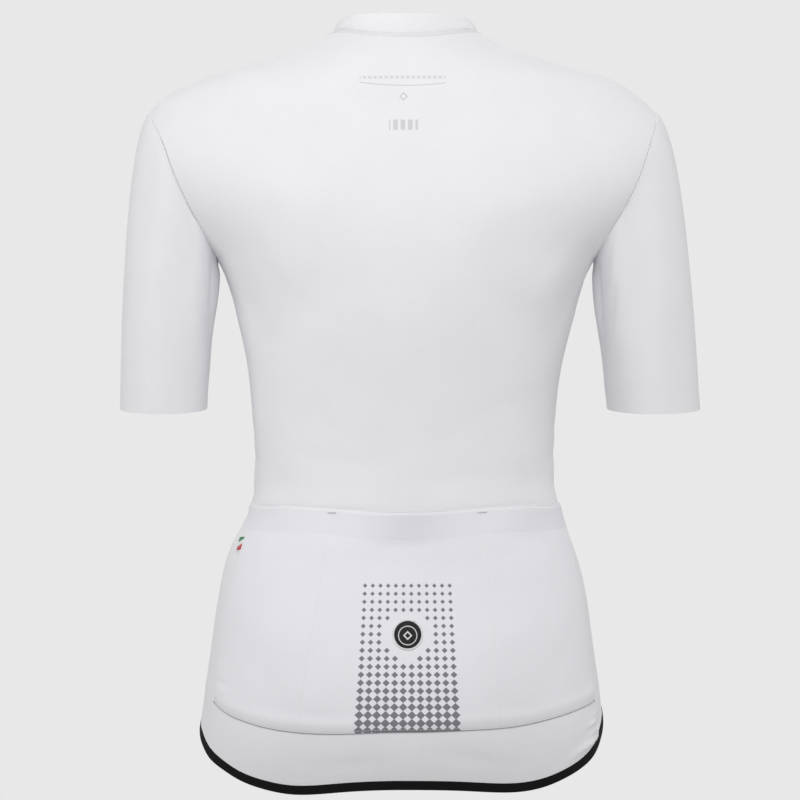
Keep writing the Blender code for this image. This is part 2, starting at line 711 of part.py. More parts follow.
def zip_line():
    """Places up the centre front with their normals: the fronts' rows, then the collar's."""
    rows = [(body(180.0, z), outward(body, 180.0, z)) for z in levels(180.0)[:-1]]
    rows[0] = (body(180.0, hem(180.0) + 0.5), rows[0][1])
    low = outward(body, 180.0, NECK - 0.5)
    high = outward(collar, 180.0, 0.2, d_z=0.05)
    bend = (low + high).normalized()
    rows.append((body(180.0, NECK), bend / bend.dot(high)))
    for share in (0.5, 0.96):
        rows.append((collar(180.0, share), outward(collar, 180.0, share, d_z=0.04)))
    return rows


def make_zip(tape_finish, teeth_finish):
    """Two tapes behind the fronts' edges, and the strip of closed teeth between the fronts."""
    sink = COLLAR_WALL + LAY_GAP + 0.3
    for side, sign in (("left", 1), ("right", -1)):
        rows = [
            [point - out * sink + Vector((sign * x, 0, 0)) for x in (TAPE_HALF_WIDTH, TAPE_SPLIT)]
            for point, out in zip_line()
        ]
        cloth("zip_tape_" + side, rows, tape_finish, TAPE_WALL, flip=side == "right")
    rows = [
        [point + out * TEETH_OUT + Vector((x, 0, 0)) for x in (TEETH_HALF_WIDTH, -TEETH_HALF_WIDTH)]
        for point, out in zip_line()
    ]
    cloth("zip_teeth", rows, teeth_finish, TEETH_WALL)


def make_slider(finish):
    """The slider at the top of the closed zip, with the bridge that its pull tab swings on."""
    span = (collar(180.0, 1.0) - collar(180.0, 0.0)).length
    share = 1 - SLIDER_BELOW_TOP / span
    out = outward(collar, 180.0, share, d_z=0.04)
    up = Vector((1, 0, 0)).cross(out).normalized()
    up = up if up.z > 0 else -up
    axes = Matrix((out.cross(up), out, up)).transposed().to_4x4()
    frame = Matrix.Translation(collar(180.0, share) * MM) @ axes
    width, thick, length = SLIDER_SIZE
    low = TEETH_OUT + 0.4
    plate = block("zip_slider", SLIDER_SIZE, (0, low + thick / 2, 0), finish, frame)
    top = low + thick
    bridge = block("bridge", BRIDGE_SIZE, (0, top + BRIDGE_SIZE[1] / 2 - 0.2, 0), finish, frame)
    cut(plate, bridge, "UNION")
    clear = BRIDGE_SIZE[1] - 0.2 - BRIDGE_BAR
    window = (BRIDGE_SIZE[0] * 3, clear, BRIDGE_SIZE[2] - 2 * BRIDGE_BAR)
    cut(plate, block("bridge_window", window, (0, top + clear / 2, 0), finish, frame))
    axis = top + clear / 2
    hinge = bpy.data.objects.new("pull_tab_hinge", None)
    bpy.data.collections[NAME].objects.link(hinge)
    hinge.matrix_world = frame @ Matrix.Translation(Vector((0, axis, 0)) * MM)
    return hinge


def make_pull_tab(finish, hinge):
    """The pull tab: its eye goes round the bridge, its grip has a small slot."""
    width, thick, length = TAB_SIZE
    frame = hinge.matrix_world
    tab = block("zip_pull_tab", TAB_SIZE, (0, 0, thick / 2 - length / 2), finish, frame)
    slot = (TAB_SLOT[0], 3 * thick, TAB_SLOT[1])
    cut(tab, block("tab_eye", slot, (0, 0, -thick / 2 - TAB_SLOT[1] / 2), finish, frame))
    hole = (TAB_HOLE[0], 3 * thick, TAB_HOLE[1])
    low = thick / 2 - length + 1.8 + TAB_HOLE[1] / 2
    cut(tab, block("tab_slot", hole, (0, 0, low), finish, frame))
    tab.matrix_world = Matrix()
    tab.parent = hinge


def main():
    for old in list(bpy.data.objects):
        bpy.data.objects.remove(old)
    for name in (NAME, "cutters"):
        made = bpy.data.collections.get(name) or bpy.data.collections.new(name)
        if name not in bpy.context.scene.collection.children:
            bpy.context.scene.collection.children.link(made)
    knit = material("white_knit", CLOTH_WHITE, 0.75)
    trim = material("white_tape", TRIM_WHITE, 0.7)
    metal = material("zip_metal", ZIP_METAL, 0.35, 1.0)
    make_panels(knit)
    make_sleeves(knit)
    make_collar(knit, trim)
    make_pockets(knit, material("pocket_elastic", CLOTH_WHITE, 0.6))
    make_hem_band(material("black_elastic", ELASTIC_BLACK, 0.8))
    make_badge(material("badge_print", BADGE_DARK, 0.45))
    make_side_tag(material("flag_ribbon", TAG_GREEN, 0.6))
    make_zip(trim, material("zip_teeth", TRIM_WHITE, 0.4))
    hinge = make_slider(metal)
    make_pull_tab(metal, hinge)


main()
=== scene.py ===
"""Cycling jersey: its cloth, trims, zip, sewing and finishes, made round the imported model.

Run it with blender --background --python scene.py. Forms are worked out in millimetres and become metres
when a mesh is made, by * MM. An angle on the body runs from 0 at the centre back over 90 at the wearer's
left side to 180 at the centre front, and below 0 on the wearer's right.
"""

import math
from collections import namedtuple
from functools import lru_cache, partial

import bmesh
import bpy
import numpy as np
from mathutils import Matrix, Vector, kdtree


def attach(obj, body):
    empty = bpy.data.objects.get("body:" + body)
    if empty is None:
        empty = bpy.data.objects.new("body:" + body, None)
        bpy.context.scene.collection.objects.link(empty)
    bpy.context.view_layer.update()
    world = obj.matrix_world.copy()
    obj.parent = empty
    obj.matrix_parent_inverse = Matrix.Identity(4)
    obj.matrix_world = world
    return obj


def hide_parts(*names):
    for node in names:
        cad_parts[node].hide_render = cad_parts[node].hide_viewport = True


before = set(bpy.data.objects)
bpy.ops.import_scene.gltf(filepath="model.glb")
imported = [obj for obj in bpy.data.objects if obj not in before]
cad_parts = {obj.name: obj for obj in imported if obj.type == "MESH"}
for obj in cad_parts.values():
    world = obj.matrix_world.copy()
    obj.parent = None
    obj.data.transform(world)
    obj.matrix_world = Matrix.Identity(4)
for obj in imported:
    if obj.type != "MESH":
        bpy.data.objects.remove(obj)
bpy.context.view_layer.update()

bl_info = {
    "name": "Cycling jersey",
    "version": (1, 0, 0),
    "blender": (4, 5, 0),
    "location": "View3D > Sidebar > Jersey",
    "description": "Makes a cycling jersey with pockets, zip, elastic and sewing round its packed model",
    "category": "Add Mesh",
}

MM = 0.001
TAU = 2 * math.pi

# Heights of the cut
UNDERARM, SHOULDER_TIP, NECK, NECK_SLOPE = -186.0, -64.0, 2.5, -127.0
WAIST, HEM_BAND = -340.0, 7.8
LAY_GAP, WALL = 0.45, 1.2


def spline(xs, ys):
    """A smooth curve through the points: a natural cubic spline, as a function of numbers or arrays."""
    xs, ys = np.array(xs, float), np.array(ys, float)
    steps = np.diff(xs)
    slopes = np.diff(ys) / steps
    system, right = np.eye(len(xs)), np.zeros(len(xs))
    for i in range(1, len(xs) - 1):
        system[i, i - 1:i + 2] = steps[i - 1], 2 * (steps[i - 1] + steps[i]), steps[i]
        right[i] = 6 * (slopes[i] - slopes[i - 1])
    bends = np.linalg.solve(system, right)

    def value(x):
        i = np.clip(np.searchsorted(xs, x) - 1, 0, len(steps) - 1)
        step, ahead, behind = steps[i], xs[i + 1] - x, x - xs[i]
        curved = (bends[i] * ahead ** 3 + bends[i + 1] * behind ** 3) / (6 * step)
        low, high = ys[i] / step - bends[i] * step / 6, ys[i + 1] / step - bends[i + 1] * step / 6
        return curved + low * ahead + high * behind

    return value


def columns(names, rows):
    """The splines of a table's columns over its first column."""
    keys = [row[0] for row in rows]
    return {name: spline(keys, [row[i + 1] for row in rows]) for i, name in enumerate(names.split())}


def round_body(names, rows):
    """The splines of lines round the body, level at the centre back and front."""
    angles = [row[0] for row in rows]
    around = [-a for a in angles[3:0:-1]] + angles + [360 - a for a in angles[-2:-5:-1]]
    made = {}
    for i, name in enumerate(names.split()):
        values = [row[i + 1] for row in rows]
        made[name] = spline(around, values[3:0:-1] + values + values[-2:-5:-1])
    return made


# Half widths of the body's rings, of the armhole seam, and of the rings along the shoulder: z, left, right
WIDTH_LOW = columns("left right", [
    (-640, 168, 163), (-600, 170, 165), (-560, 168.5, 164), (-520, 162.5, 158), (-480, 157, 152.5),
    (-450, 151.8, 147.3), (-420, 142.3, 138), (-395, 129.5, 128.8), (-375, 125.6, 124.6), (-345, 124.9, 123.7),
    (-310, 127, 125.2), (-270, 131.4, 130.9), (-230, 140.2, 141.2), (-205, 147.2, 148.6), (-186, 156.5, 158),
])
WIDTH_ARMHOLE = columns("left right", [
    (-186, 156.5, 158), (-166, 166, 168.5), (-148, 175.3, 178.5), (-127, 185.3, 189), (-109, 192.6, 196),
    (-90, 199.5, 201.8), (-77, 205.8, 205.9), (-64, 211.7, 208.2),
])
WIDTH_SHOULDER = columns("left right", [
    (-64, 211.7, 208.2), (-57.3, 207.6, 202.4), (-50.6, 199.2, 195), (-44, 188.4, 186.4), (-37.4, 172.5, 176),
    (-30.7, 154.5, 157), (-24.1, 131.5, 132.5), (-17.4, 109.5, 110.5), (-10.8, 90, 91), (-4.2, 75.5, 76.5),
    (2.5, 60.5, 61),
])
# Half depths of every ring, and the power of its ellipse
DEPTH = columns("back front power", [
    (-640, 96, 104, 2.2), (-614, 108, 104.6, 2.2), (-600, 114, 105, 2.2), (-582, 119.5, 105.5, 2.2),
    (-560, 122.5, 106, 2.2), (-520, 118, 106, 2.2), (-480, 108, 105, 2.2), (-450, 99, 103, 2.2),
    (-420, 90, 100, 2.2), (-390, 82, 97, 2.2), (-350, 78.5, 95.5, 2.2), (-310, 80.5, 98.5, 2.2),
    (-270, 86, 109, 2.2), (-230, 92, 124, 2.2), (-205, 94.5, 129.5, 2.2), (-186, 95.5, 128, 2.2),
    (-160, 95, 117, 2.2), (-127, 91.5, 100.5, 2.2), (-100, 86.5, 89, 2.2), (-77, 80.5, 80.5, 2.15),
    (-64, 76.5, 76, 2.1), (-44, 71, 70, 2.05), (-24, 64.5, 65.3, 2), (-8, 56.5, 62.2, 2), (2.5, 48.5, 60.5, 2),
])
SIDE_SEAM = columns("left right", [
    (-640, 67, 70), (-550, 68.2, 71.8), (-519, 70.2, 74.5), (-490, 72, 75), (-460, 70, 75.3), (-440, 68, 75.8),
    (-425, 69, 79), (-406, 75.5, 83), (-386, 84, 86.5), (-350, 88.5, 88.5), (-186, 90, 90),
])
NECK_LINE = round_body("seam top", [
    (0, -3, 13.5), (30, -1, 13.8), (60, 2.5, 12.5), (75, 0.5, 10.5), (90, -4, 6.5), (120, -23, -7.5),
    (150, -42, -23.5), (180, -52, -32),
])
BODY_LINE = round_body("hem_left hem_right foot_left foot_right band_foot band_top", [
    (0, -616, -616, -568, -568, -417.7, -397), (15, -618.2, -617.2, -569.8, -566.9, -415.5, -393.5),
    (30, -621.2, -619.3, -569.2, -564.8, -411.9, -390.8), (40, -618, -616.6, -566.4, -561.3, -411.4, -390.6),
    (50, -612, -610, -561.8, -557.2, -411.2, -390.8), (60, -603.6, -602, -555.8, -553.2, -410.5, -390.6),
    (70, -595.4, -592, -547.8, -549.4, -409.5, -389.5), (80, -584.6, -578.5, -543, -545, -408.5, -388.5),
    (90, -577, -568, -541, -541, -408, -388), (105, -560.5, -556, -534, -534, -408, -388),
    (130, -549, -548, -523, -523, -408, -388), (180, -543.5, -543.5, -515, -515, -408, -388),
])
ARMHOLE_BACK, ARMHOLE_FRONT = 49.0, 46.0
BADGE_X, BADGE_Z, BADGE_RADIUS, BADGE_RIM = -2.0, -491.5, 10.8, 12.3
TAG_ANGLE, TAG_Z, TAG_WIDTH, TAG_HEIGHT, TAG_TILT = 67.6, -421.5, 6.2, 11.5, 6.0
ZIP_EDGE = 3.2         # from the centre line to the edge of each front
NECK_TAPE_WIDTH, NECK_TAPE_END = 4.2, 86.0
COLLAR_TOP_WIDTH, COLLAR_TOP_BACK, COLLAR_TOP_FRONT = 57.0, 47.0, 58.5

# A crease or soft swell along a slanted, bent line: troughs have a depth below 0. Round the body the place
# is an angle, and on one panel it is a distance from the centre line
Crease = namedtuple("Crease", "x z length slant width depth bend", defaults=(0.0,))


def creases(*rows):
    return [Crease(*row) for row in rows]


FOLDS = creases(
    (22, -146, 30, -20, 38, 3.2), (-22, -148, 30, 20, 38, 3.2), (41, -193, 24, -30, 25, 3.2),
    (-48, -203, 24, 30, 26, 3.4), (66, -222, 46, 52, 17, -1.6), (-68, -226, 44, -50, 17, -1.4),
    (112, -226, 50, -48, 18, -2), (-110, -222, 52, 46, 18, -1.8), (54, -372, 40, 8, 15, -1.3),
    (-56, -370, 42, -7, 15, -1.4), (128, -366, 44, -9, 16, -1.7), (-131, -372, 40, 11, 16, -1.6),
    (-79, -566, 34, -34, 16, -1.6), (78, -560, 30, 28, 15, -1.3),
)
SIDE_CREASES = creases(
    (84, -352, 30, 9, 6.5, -0.9, 3), (88, -379, 25, -6, 5, -0.8, -2), (91, -330, 22, 14, 7, -0.6),
    (-86, -347, 32, -11, 6, -0.9, 3), (-90, -374, 27, 5, 5.5, -0.9), (-93, -322, 24, -16, 7, -0.6),
    (80, -214, 34, 58, 6, -0.8, 3), (-82, -219, 36, -55, 6, -0.9, -3), (101, -216, 38, -56, 7, -1, 3),
    (-100, -212, 35, 60, 6, -1), (63.5, -521.5, 7, 2, 1.8, 0.8), (63.5, -528, 8, 4, 1.8, 0.9),
    (62.3, -539.8, 9, 15, 2, 1.2), (-68, -536.5, 7, -14, 1.8, 0.9), (-67, -542, 8, -16, 1.8, 0.9),
    (-70.5, -560, 9, -14, 1.8, 1.3), (-69, -566, 13, -15, 1.8, 2), (-71.5, -572.5, 14, -17, 1.9, 2.2),
    (-64, -583.5, 20, -19, 2.5, 2.7, -1.5),
)
BACK_FORMS = creases(
    (86, -230, 30, -62, 22, -2.4), (-93, -236, 32, 60, 24, -2.6), (0, -262, 70, 90, 30, 0.9),
    (112, -196, 34, 58, 7, -0.7, 4), (-116, -190, 36, -55, 7.5, -0.7, -4), (60, -352, 38, 10, 8, -0.5, 3),
    (-42, -366, 44, -5, 9, -0.5, -2), (74, -318, 34, 18, 11, -0.5), (-80, -308, 36, -22, 10, -0.5),
    (52, -22, 24, 24, 6, -0.6), (-56, -24, 26, -26, 6.5, -0.6), (46, -596, 28, -6, 6, -0.6),
    (-60, -592, 30, 9, 6.5, -0.7),
)
POCKET_FORMS = creases(
    (88, -492, 46, 80, 40, 4.2), (-87, -500, 46, -78, 40, 4.2), (60.4, -404, 15, 86, 5, -0.9),
    (-60, -406, 18, 82, 5.5, -1.1), (20, -436, 60, 4, 12, -0.7, 2), (-66, -432, 32, -12, 8, -0.5),
    (74, -438, 34, 12, 9, -0.5), (118, -512, 26, 64, 8, -0.6), (-120, -520, 28, -60, 8, -0.7),
    (70, -556, 30, 8, 6, -0.6), (-96, -552, 26, 14, 6, -0.6), (2, -548, 44, -3, 9, -0.4),
)
# How the elastic over each pocket leans out: the middle's distance from the centre line, half width and lean
MOUTHS = [(-1.0, 30.0, 11.0), (-97.0, 20.0, 6.0), (98.0, 22.0, 4.0)]
FRONT_FORMS = creases(
    (82, -186, 44, 70, 40, 4), (-82, -186, 44, -70, 40, 4), (116, -150, 44, 46, 6.5, -2, 5),
    (-120, -154, 47, -43, 7, -2.2, -5), (98, -121, 36, 37, 7, -1.6, 3), (-91, -127, 40, -40, 6.5, -1.7, -3),
    (66, -104, 28, 30, 7.5, -1.2), (-72, -99, 25, -34, 7, -1.1), (60, -258, 42, 60, 9.5, -1.9, 4),
    (-64, -253, 46, -58, 9, -2, -4), (86, -282, 30, 48, 7, -1.4), (-90, -276, 27, -52, 7.5, -1.5),
    (56, -337, 42, 13, 6.5, -1.8, 4), (-49, -347, 46, -9, 6, -1.9, 4), (75, -365, 33, -8, 5.5, -1.7, -2),
    (-83, -359, 36, 9, 5.5, -1.7, 2), (42, -386, 26, 7, 6, -1.3), (-62, -391, 30, -10, 6.5, -1.3),
    (44, -418, 38, 5, 8, -1.3, 3), (-40, -428, 32, -7, 8, -1.2), (54, -476, 46, 57, 10, -1.7, -4),
    (-60, -482, 48, -54, 9.5, -1.6, 4), (98, -505, 32, 40, 7, -1.4, 3), (-96, -513, 29, -36, 6.5, -1.4),
    (26, -72, 27, 52, 6.5, -1.2, 2), (-30, -77, 29, -50, 6, -1.2, -2),
)
# Creases on a sleeve: the angle round the arm from its inner side over the front, and the distance down it
SLEEVE_CREASES = creases(
    (36, 22, 26, -62, 7, -1), (335, 34, 26, 84, 3, 1.4), (351, 32, 34, 88, 8, -3.6), (302, 26, 24, 60, 6.5, -0.8),
    (64, 60, 34, -38, 9, -0.7), (300, 66, 32, 34, 9, -0.6), (24, 92, 24, 12, 7, -0.6), (336, 100, 22, -10, 7, -0.5),
    (120, 120, 46, 70, 16, -0.7), (240, 112, 52, -74, 16, -0.6), (182, 170, 40, 80, 18, -0.5),
    (80, 176, 30, -72, 13, -0.5),
)


def crease_height(creases, x, z):
    """Sum of the creases at places on the cloth, in millimetres outwards."""
    total = np.zeros(np.broadcast(x, z).shape)
    for crease in creases:
        slant = math.radians(crease.slant)
        along = ((x - crease.x) * math.cos(slant) + (z - crease.z) * math.sin(slant)) / crease.length
        aside = (z - crease.z) * math.cos(slant) - (x - crease.x) * math.sin(slant) - crease.bend * along ** 2
        total += crease.depth * np.exp(-along ** 2 - (aside / crease.width) ** 2)
    return total


def round_height(creases, angle, z):
    """The same for creases whose places are angles round the body, on a ring of about 120 mm."""
    ring = 120.0 * math.pi / 180
    return crease_height([c._replace(x=c.x * ring) for c in creases], angle * ring, z)


def ease(a, b, t):
    """The share, from 0 to 1, that eases in as t goes from a to b."""
    share = np.clip((t - a) / (b - a), 0.0, 1.0)
    return share * share * (3 - 2 * share)


def unit(vectors):
    return vectors / np.maximum(np.linalg.norm(vectors, axis=-1, keepdims=True), 1e-9)


def sided(table, left, z, names=("left", "right")):
    return np.where(left, table[names[0]](z), table[names[1]](z))


def hem(angle):
    return sided(BODY_LINE, angle >= 0, np.abs(angle), ("hem_left", "hem_right"))


def pocket_foot(angle):
    return sided(BODY_LINE, angle >= 0, np.abs(angle), ("foot_left", "foot_right"))


def half_width(z, left, back):
    """Half width of a ring. Beside the armhole the ring is as wide as brings it through the seam."""
    share = np.clip((z - UNDERARM) / (SHOULDER_TIP - UNDERARM), 0.0, 1.0)
    reach = np.where(back, ARMHOLE_BACK, ARMHOLE_FRONT) * 2 * np.sqrt(share * (1 - share))
    reach = reach / sided(DEPTH, back, z, ("back", "front"))
    p = DEPTH["power"](z)
    beside = sided(WIDTH_ARMHOLE, left, z) / (1 - np.clip(reach, 0, 0.95) ** p) ** (1 / p)
    return np.where(z <= UNDERARM, sided(WIDTH_LOW, left, z),
                    np.where(z >= SHOULDER_TIP, sided(WIDTH_SHOULDER, left, z), beside))


def angle_at(x, z, left, back):
    """Angle, without its sign, at which a ring is x from the centre line."""
    share = np.clip(x / half_width(z, left, back), 0.0, 1.0)
    turn = np.degrees(np.arcsin(share ** (DEPTH["power"](z) / 2)))
    return np.where(back, turn, 180 - turn)


def back_angle(x, z):
    """Angle of a place on the back, x from the centre line."""
    return np.copysign(angle_at(np.abs(x), z, x >= 0, True), x)


def seam_angle(z, left, back):
    """Angle, without its sign, of the seam that ends the back or a front at a height."""
    beside = angle_at(sided(WIDTH_ARMHOLE, left, z), z, left, back)
    return np.where(z <= UNDERARM, sided(SIDE_SEAM, left, z), np.where(z >= SHOULDER_TIP, 90.0, beside))


def body(angle, z):
    """Points on the outside of the body form. Over NECK_SLOPE the rings sink towards the neck's low front."""
    angle, z = np.broadcast_arrays(np.asarray(angle, float), np.asarray(z, float))
    left, back = angle >= 0, np.abs(angle) <= 90
    wide, deep, p = half_width(z, left, back), sided(DEPTH, back, z, ("back", "front")), DEPTH["power"](z)
    sine, cosine = np.sin(np.radians(angle)), np.cos(np.radians(angle))
    x = wide * np.copysign(np.abs(sine) ** (2 / p), sine)
    y = deep * np.copysign(np.abs(cosine) ** (2 / p), cosine)
    out = unit(np.stack([x / wide ** 2, y / deep ** 2, 0 * x], -1))
    rise = np.maximum((z - NECK_SLOPE) / (NECK - NECK_SLOPE), 0.0)
    height = z + (NECK_LINE["seam"](np.abs(angle)) - NECK) * rise ** 1.6
    return np.stack([x, y, height], -1) + out * round_height(FOLDS, angle, z)[..., None]


def collar_form(angle, share):
    """Points on the outside of the collar, from its seam at 0 to its top edge at 1."""
    angle, share = np.broadcast_arrays(np.asarray(angle, float), np.asarray(share, float))
    foot = body(angle, np.full(angle.shape, NECK))
    turn = np.radians(angle)
    deep = np.where(np.abs(angle) <= 90, COLLAR_TOP_BACK, COLLAR_TOP_FRONT)
    top = np.stack([COLLAR_TOP_WIDTH * np.sin(turn), deep * np.cos(turn), NECK_LINE["top"](np.abs(angle))], -1)
    middle = (foot + top) / 2
    middle = middle + unit(middle * np.array([1.0, 1.0, 0.0])) * 0.8
    bow = 2 * middle - (foot + top) / 2
    share = share[..., None]
    return foot * (1 - share) ** 2 + bow * 2 * share * (1 - share) + top * share ** 2


def outward(surface, angle, z, d_z=0.4):
    """Unit normals of a surface that is a function of angle and z or share."""
    across = surface(angle + 0.4, z) - surface(angle - 0.4, z)
    up = surface(angle, z + d_z) - surface(angle, z - d_z)
    return unit(np.cross(up, across))


def grid_normals(points, flip=False):
    normals = unit(np.cross(np.gradient(points, axis=0), np.gradient(points, axis=1)))
    return -normals if flip else normals


def line_distance(points, line):
    """Distance from each point to a line through many points."""
    tree = kdtree.KDTree(len(line))
    for i, at in enumerate(line):
        tree.insert(at, i)
    tree.balance()
    flat = points.reshape(-1, 3)
    near = np.array([tree.find(at)[1] for at in flat])
    best = np.full(len(flat), np.inf)
    for step in (-1, 0):
        i = np.clip(near + step, 0, len(line) - 2)
        start, run = line[i], line[i + 1] - line[i]
        share = np.clip(((flat - start) * run).sum(1) / np.maximum((run ** 2).sum(1), 1e-9), 0, 1)
        best = np.minimum(best, np.linalg.norm(flat - start - run * share[:, None], axis=1))
    return best.reshape(points.shape[:-1])


def run_of(line):
    """Distance along a line up to each of its points."""
    return np.concatenate([[0.0], np.cumsum(np.linalg.norm(np.diff(line, axis=0), axis=1))])


def along(at, run, values):
    """Vectors given at distances along a line, read between them."""
    return np.stack([np.interp(at, run, values[:, k]) for k in range(3)], 1)


def soften(points, amount):
    """Smooths each column of a grid over its length by a share that varies over the grid."""
    spread = 13.0
    eased = points.copy()
    spacing = 0.5
    reach = np.arange(-4 * spread, 4 * spread + spacing, spacing)
    kernel = np.exp(-0.5 * (reach / spread) ** 2)
    kernel /= kernel.sum()
    for i in range(points.shape[1]):
        column = points[:, i]
        run = run_of(column)
        even = np.arange(0.0, run[-1] + spacing, spacing)
        track = along(even, run, column)
        padded = np.pad(track, ((len(kernel) // 2, len(kernel) // 2), (0, 0)), mode="edge")
        smooth = np.stack([np.convolve(padded[:, k], kernel, mode="valid") for k in range(3)], 1)
        eased[:, i] += (along(run, even, smooth) - column) * amount[:, i, None]
    return eased


Grid = namedtuple("Grid", "points normals angle z")

# How each panel's rows are shared out between the lines round the body, from over the hem band to the neck
ARMHOLE_ROWS = 54
ROW_SHARES = [
    ("tail", 18), ("pocket", 56), ("band", 9), ("waist", 22), ("chest", 58), ("armhole", ARMHOLE_ROWS),
    ("shoulder", 44),
]
EDGE_STEPS = (0.003, 0.0075, 0.014, 0.022)


def row_places():
    """Segment and share of each row."""
    places = [(0, 0.0)]
    for segment, (name, count) in enumerate(ROW_SHARES):
        for i in range(1, count + 1):
            share = i / count
            places.append((segment, (1 - math.cos(math.pi * share)) / 2 if name == "armhole" else share))
    return places


ROWS = row_places()
FIRST_ROW = {name: sum(count for _, count in ROW_SHARES[:i]) for i, (name, _) in enumerate(ROW_SHARES)}


def levels(angle):
    """Heights of the rows of a grid whose points have these angles."""
    level = np.ones_like(angle)
    size = np.abs(angle)
    stops = np.stack([
        hem(angle) + HEM_BAND, pocket_foot(angle), BODY_LINE["band_foot"](size), BODY_LINE["band_top"](size),
        level * WAIST, level * UNDERARM, level * SHOULDER_TIP, level * NECK,
    ])
    segment = np.array([s for s, _ in ROWS])
    share = np.array([f for _, f in ROWS])[:, None]
    rows = np.arange(len(ROWS))
    return stops[segment, rows] * (1 - share) + stops[segment + 1, rows] * share


def settle(angle_of, count):
    """Angles and heights of a grid whose columns' angles depend on the height."""
    angle = angle_of(levels(np.full((len(ROWS), count), 90.0)))
    for _ in range(8):
        angle = angle_of(levels(angle))
    return angle, levels(angle)


def shares(count, ends):
    """Even shares from 0 to 1, closer together at the ends that are sewn."""
    inner = np.linspace(0, 1, count + 1)
    extra = list(EDGE_STEPS) if "start" in ends else []
    extra += [1 - s for s in EDGE_STEPS] if "end" in ends else []
    return np.unique(np.round(np.concatenate([inner, extra]), 5))


@lru_cache(None)
def armhole_line(side):
    """The armhole seam: from the underarm over the front to the tip, and down the back."""
    left = side == "left"
    share = (1 - np.cos(math.pi * np.arange(ARMHOLE_ROWS + 1) / ARMHOLE_ROWS)) / 2
    z = UNDERARM + (SHOULDER_TIP - UNDERARM) * share
    sign = 1 if left else -1
    front = body(sign * seam_angle(z, left, False), z)
    back = body(sign * seam_angle(z, left, True), z)
    return np.concatenate([front, back[-2::-1]])


@lru_cache(None)
def panel_grid(name):
    """The cloth of the back or of a front, with its creases, before its seams' edges are pressed in."""
    settings = bpy.context.scene.jersey_cloth
    if name == "back":
        s = shares(150, "start end") * 2 - 1
        def angle_of(z):
            return s * np.where(s >= 0, seam_angle(z, True, True), seam_angle(z, False, True))
    else:
        s = shares(78, "start end")
        left = name == "left"
        sign = 1 if left else -1
        def angle_of(z):
            start, end = seam_angle(z, left, False), angle_at(ZIP_EDGE, z, left, False)
            return sign * (start + (end - start) * s)
    angle, z = settle(angle_of, len(s))
    points = body(angle, z)
    near = np.minimum(line_distance(points, armhole_line("left")), line_distance(points, armhole_line("right")))
    ridge = ease(40.0, 75.0, 90 - np.abs(90 - np.abs(angle)))
    kinks = np.exp(-((z - UNDERARM) / 34.0) ** 4) + np.exp(-((z - SHOULDER_TIP) / 30.0) ** 4) * (1 - ridge)
    points = soften(points, np.clip(kinks, 0, 1) * ease(3.0, 30.0, near))
    flip = name == "right"
    normals = grid_normals(points, flip)
    forms = BACK_FORMS if name == "back" else FRONT_FORMS
    rim = edge_distance(points, name)
    height = crease_height(forms, points[..., 0], z) * ease(0.0, 14.0, rim)
    height += round_height(SIDE_CREASES, angle, z) * ease(1.0, 12.0, near)
    height *= settings.crease_depth
    if name == "back":
        height -= under_pocket(angle, z)
    points = points + normals * height[..., None]
    return Grid(points, grid_normals(points, flip), angle, z)


def edge_distance(points, name):
    """Distance to the panel's side edges, and for a front not to the zip."""
    edges = [points[:, 0], points[:, -1]] if name == "back" else [points[:, 0]]
    return np.min([line_distance(points, np.ascontiguousarray(edge)) for edge in edges], axis=0)


def beside_seam(angle, z, reach=14.0):
    """How near a place is to the side seam, from 1 at the seam to 0 where the reach ends."""
    gap = (sided(SIDE_SEAM, angle >= 0, z) - np.abs(angle)) * 2.3
    return 1 - ease(0.0, reach, gap)


def under_pocket(angle, z):
    """How far the back is pressed in beneath the pockets, mostly where they join the side seams."""
    foot, top = pocket_foot(angle), BODY_LINE["band_top"](np.abs(angle))
    inside = ease(0.0, 5.0, z - foot) * ease(-3.0, 4.0, top - z)
    return inside * (0.3 + 1.1 * beside_seam(angle, z))


def seam_strength(z):
    """How deep the body's seams are pressed in: not at the shoulder's tip, less where the cloth folds over."""
    tip = 1 - np.exp(-((z + 70.0) / 14.0) ** 2)
    return tip * (0.5 - 0.35 * ease(-130.0, -160.0, z) * ease(-200.0, -180.0, z))


def press_seams(grid, lines, depth, strength=1.0):
    """Presses a cloth's edges in along the seams."""
    push = np.zeros(grid.points.shape[:2])
    for line in lines:
        gap = line_distance(grid.points, np.ascontiguousarray(line))
        push = np.maximum(push, np.exp(-(gap / 0.9) ** 2))
    return grid.points - grid.normals * (push * depth * strength)[..., None]


def pocket_height(angle, z, x):
    """How far the outside of the pockets stands off the body form."""
    foot, mouth = pocket_foot(angle), BODY_LINE["band_foot"](np.abs(angle))
    rise = (z - foot) / (mouth - foot)
    flat = np.cos(np.radians(angle)) ** 2
    height = LAY_GAP + WALL + 4.2 * flat * ease(0.55, 1.05, rise)
    height += (crease_height(POCKET_FORMS, x, z) * ease(0.0, 0.1, rise)
               * bpy.context.scene.jersey_cloth.crease_depth) * (1 - beside_seam(angle, z))
    for middle, wide, lean in MOUTHS:
        height += lean * np.exp(-((x - middle) / wide) ** 2) * np.clip((z - mouth + 4.0) / 26.0, 0.0, 1.0)
    height += 0.9 * np.exp(-((z - foot - 7.5) / 4.0) ** 2) - 1.05 * np.exp(-np.maximum(z - foot, 0) / 2.4)
    return height * (1 - 0.9 * beside_seam(angle, z, 6.0))


def pocket_form(angle, z):
    """Points on the outside of the pockets and of the elastic band over them."""
    points = body(angle, z)
    normals = outward(body, angle, z)
    height = pocket_height(angle, z, points[..., 0]) + round_height(SIDE_CREASES, angle, z)
    return points + normals * height[..., None]


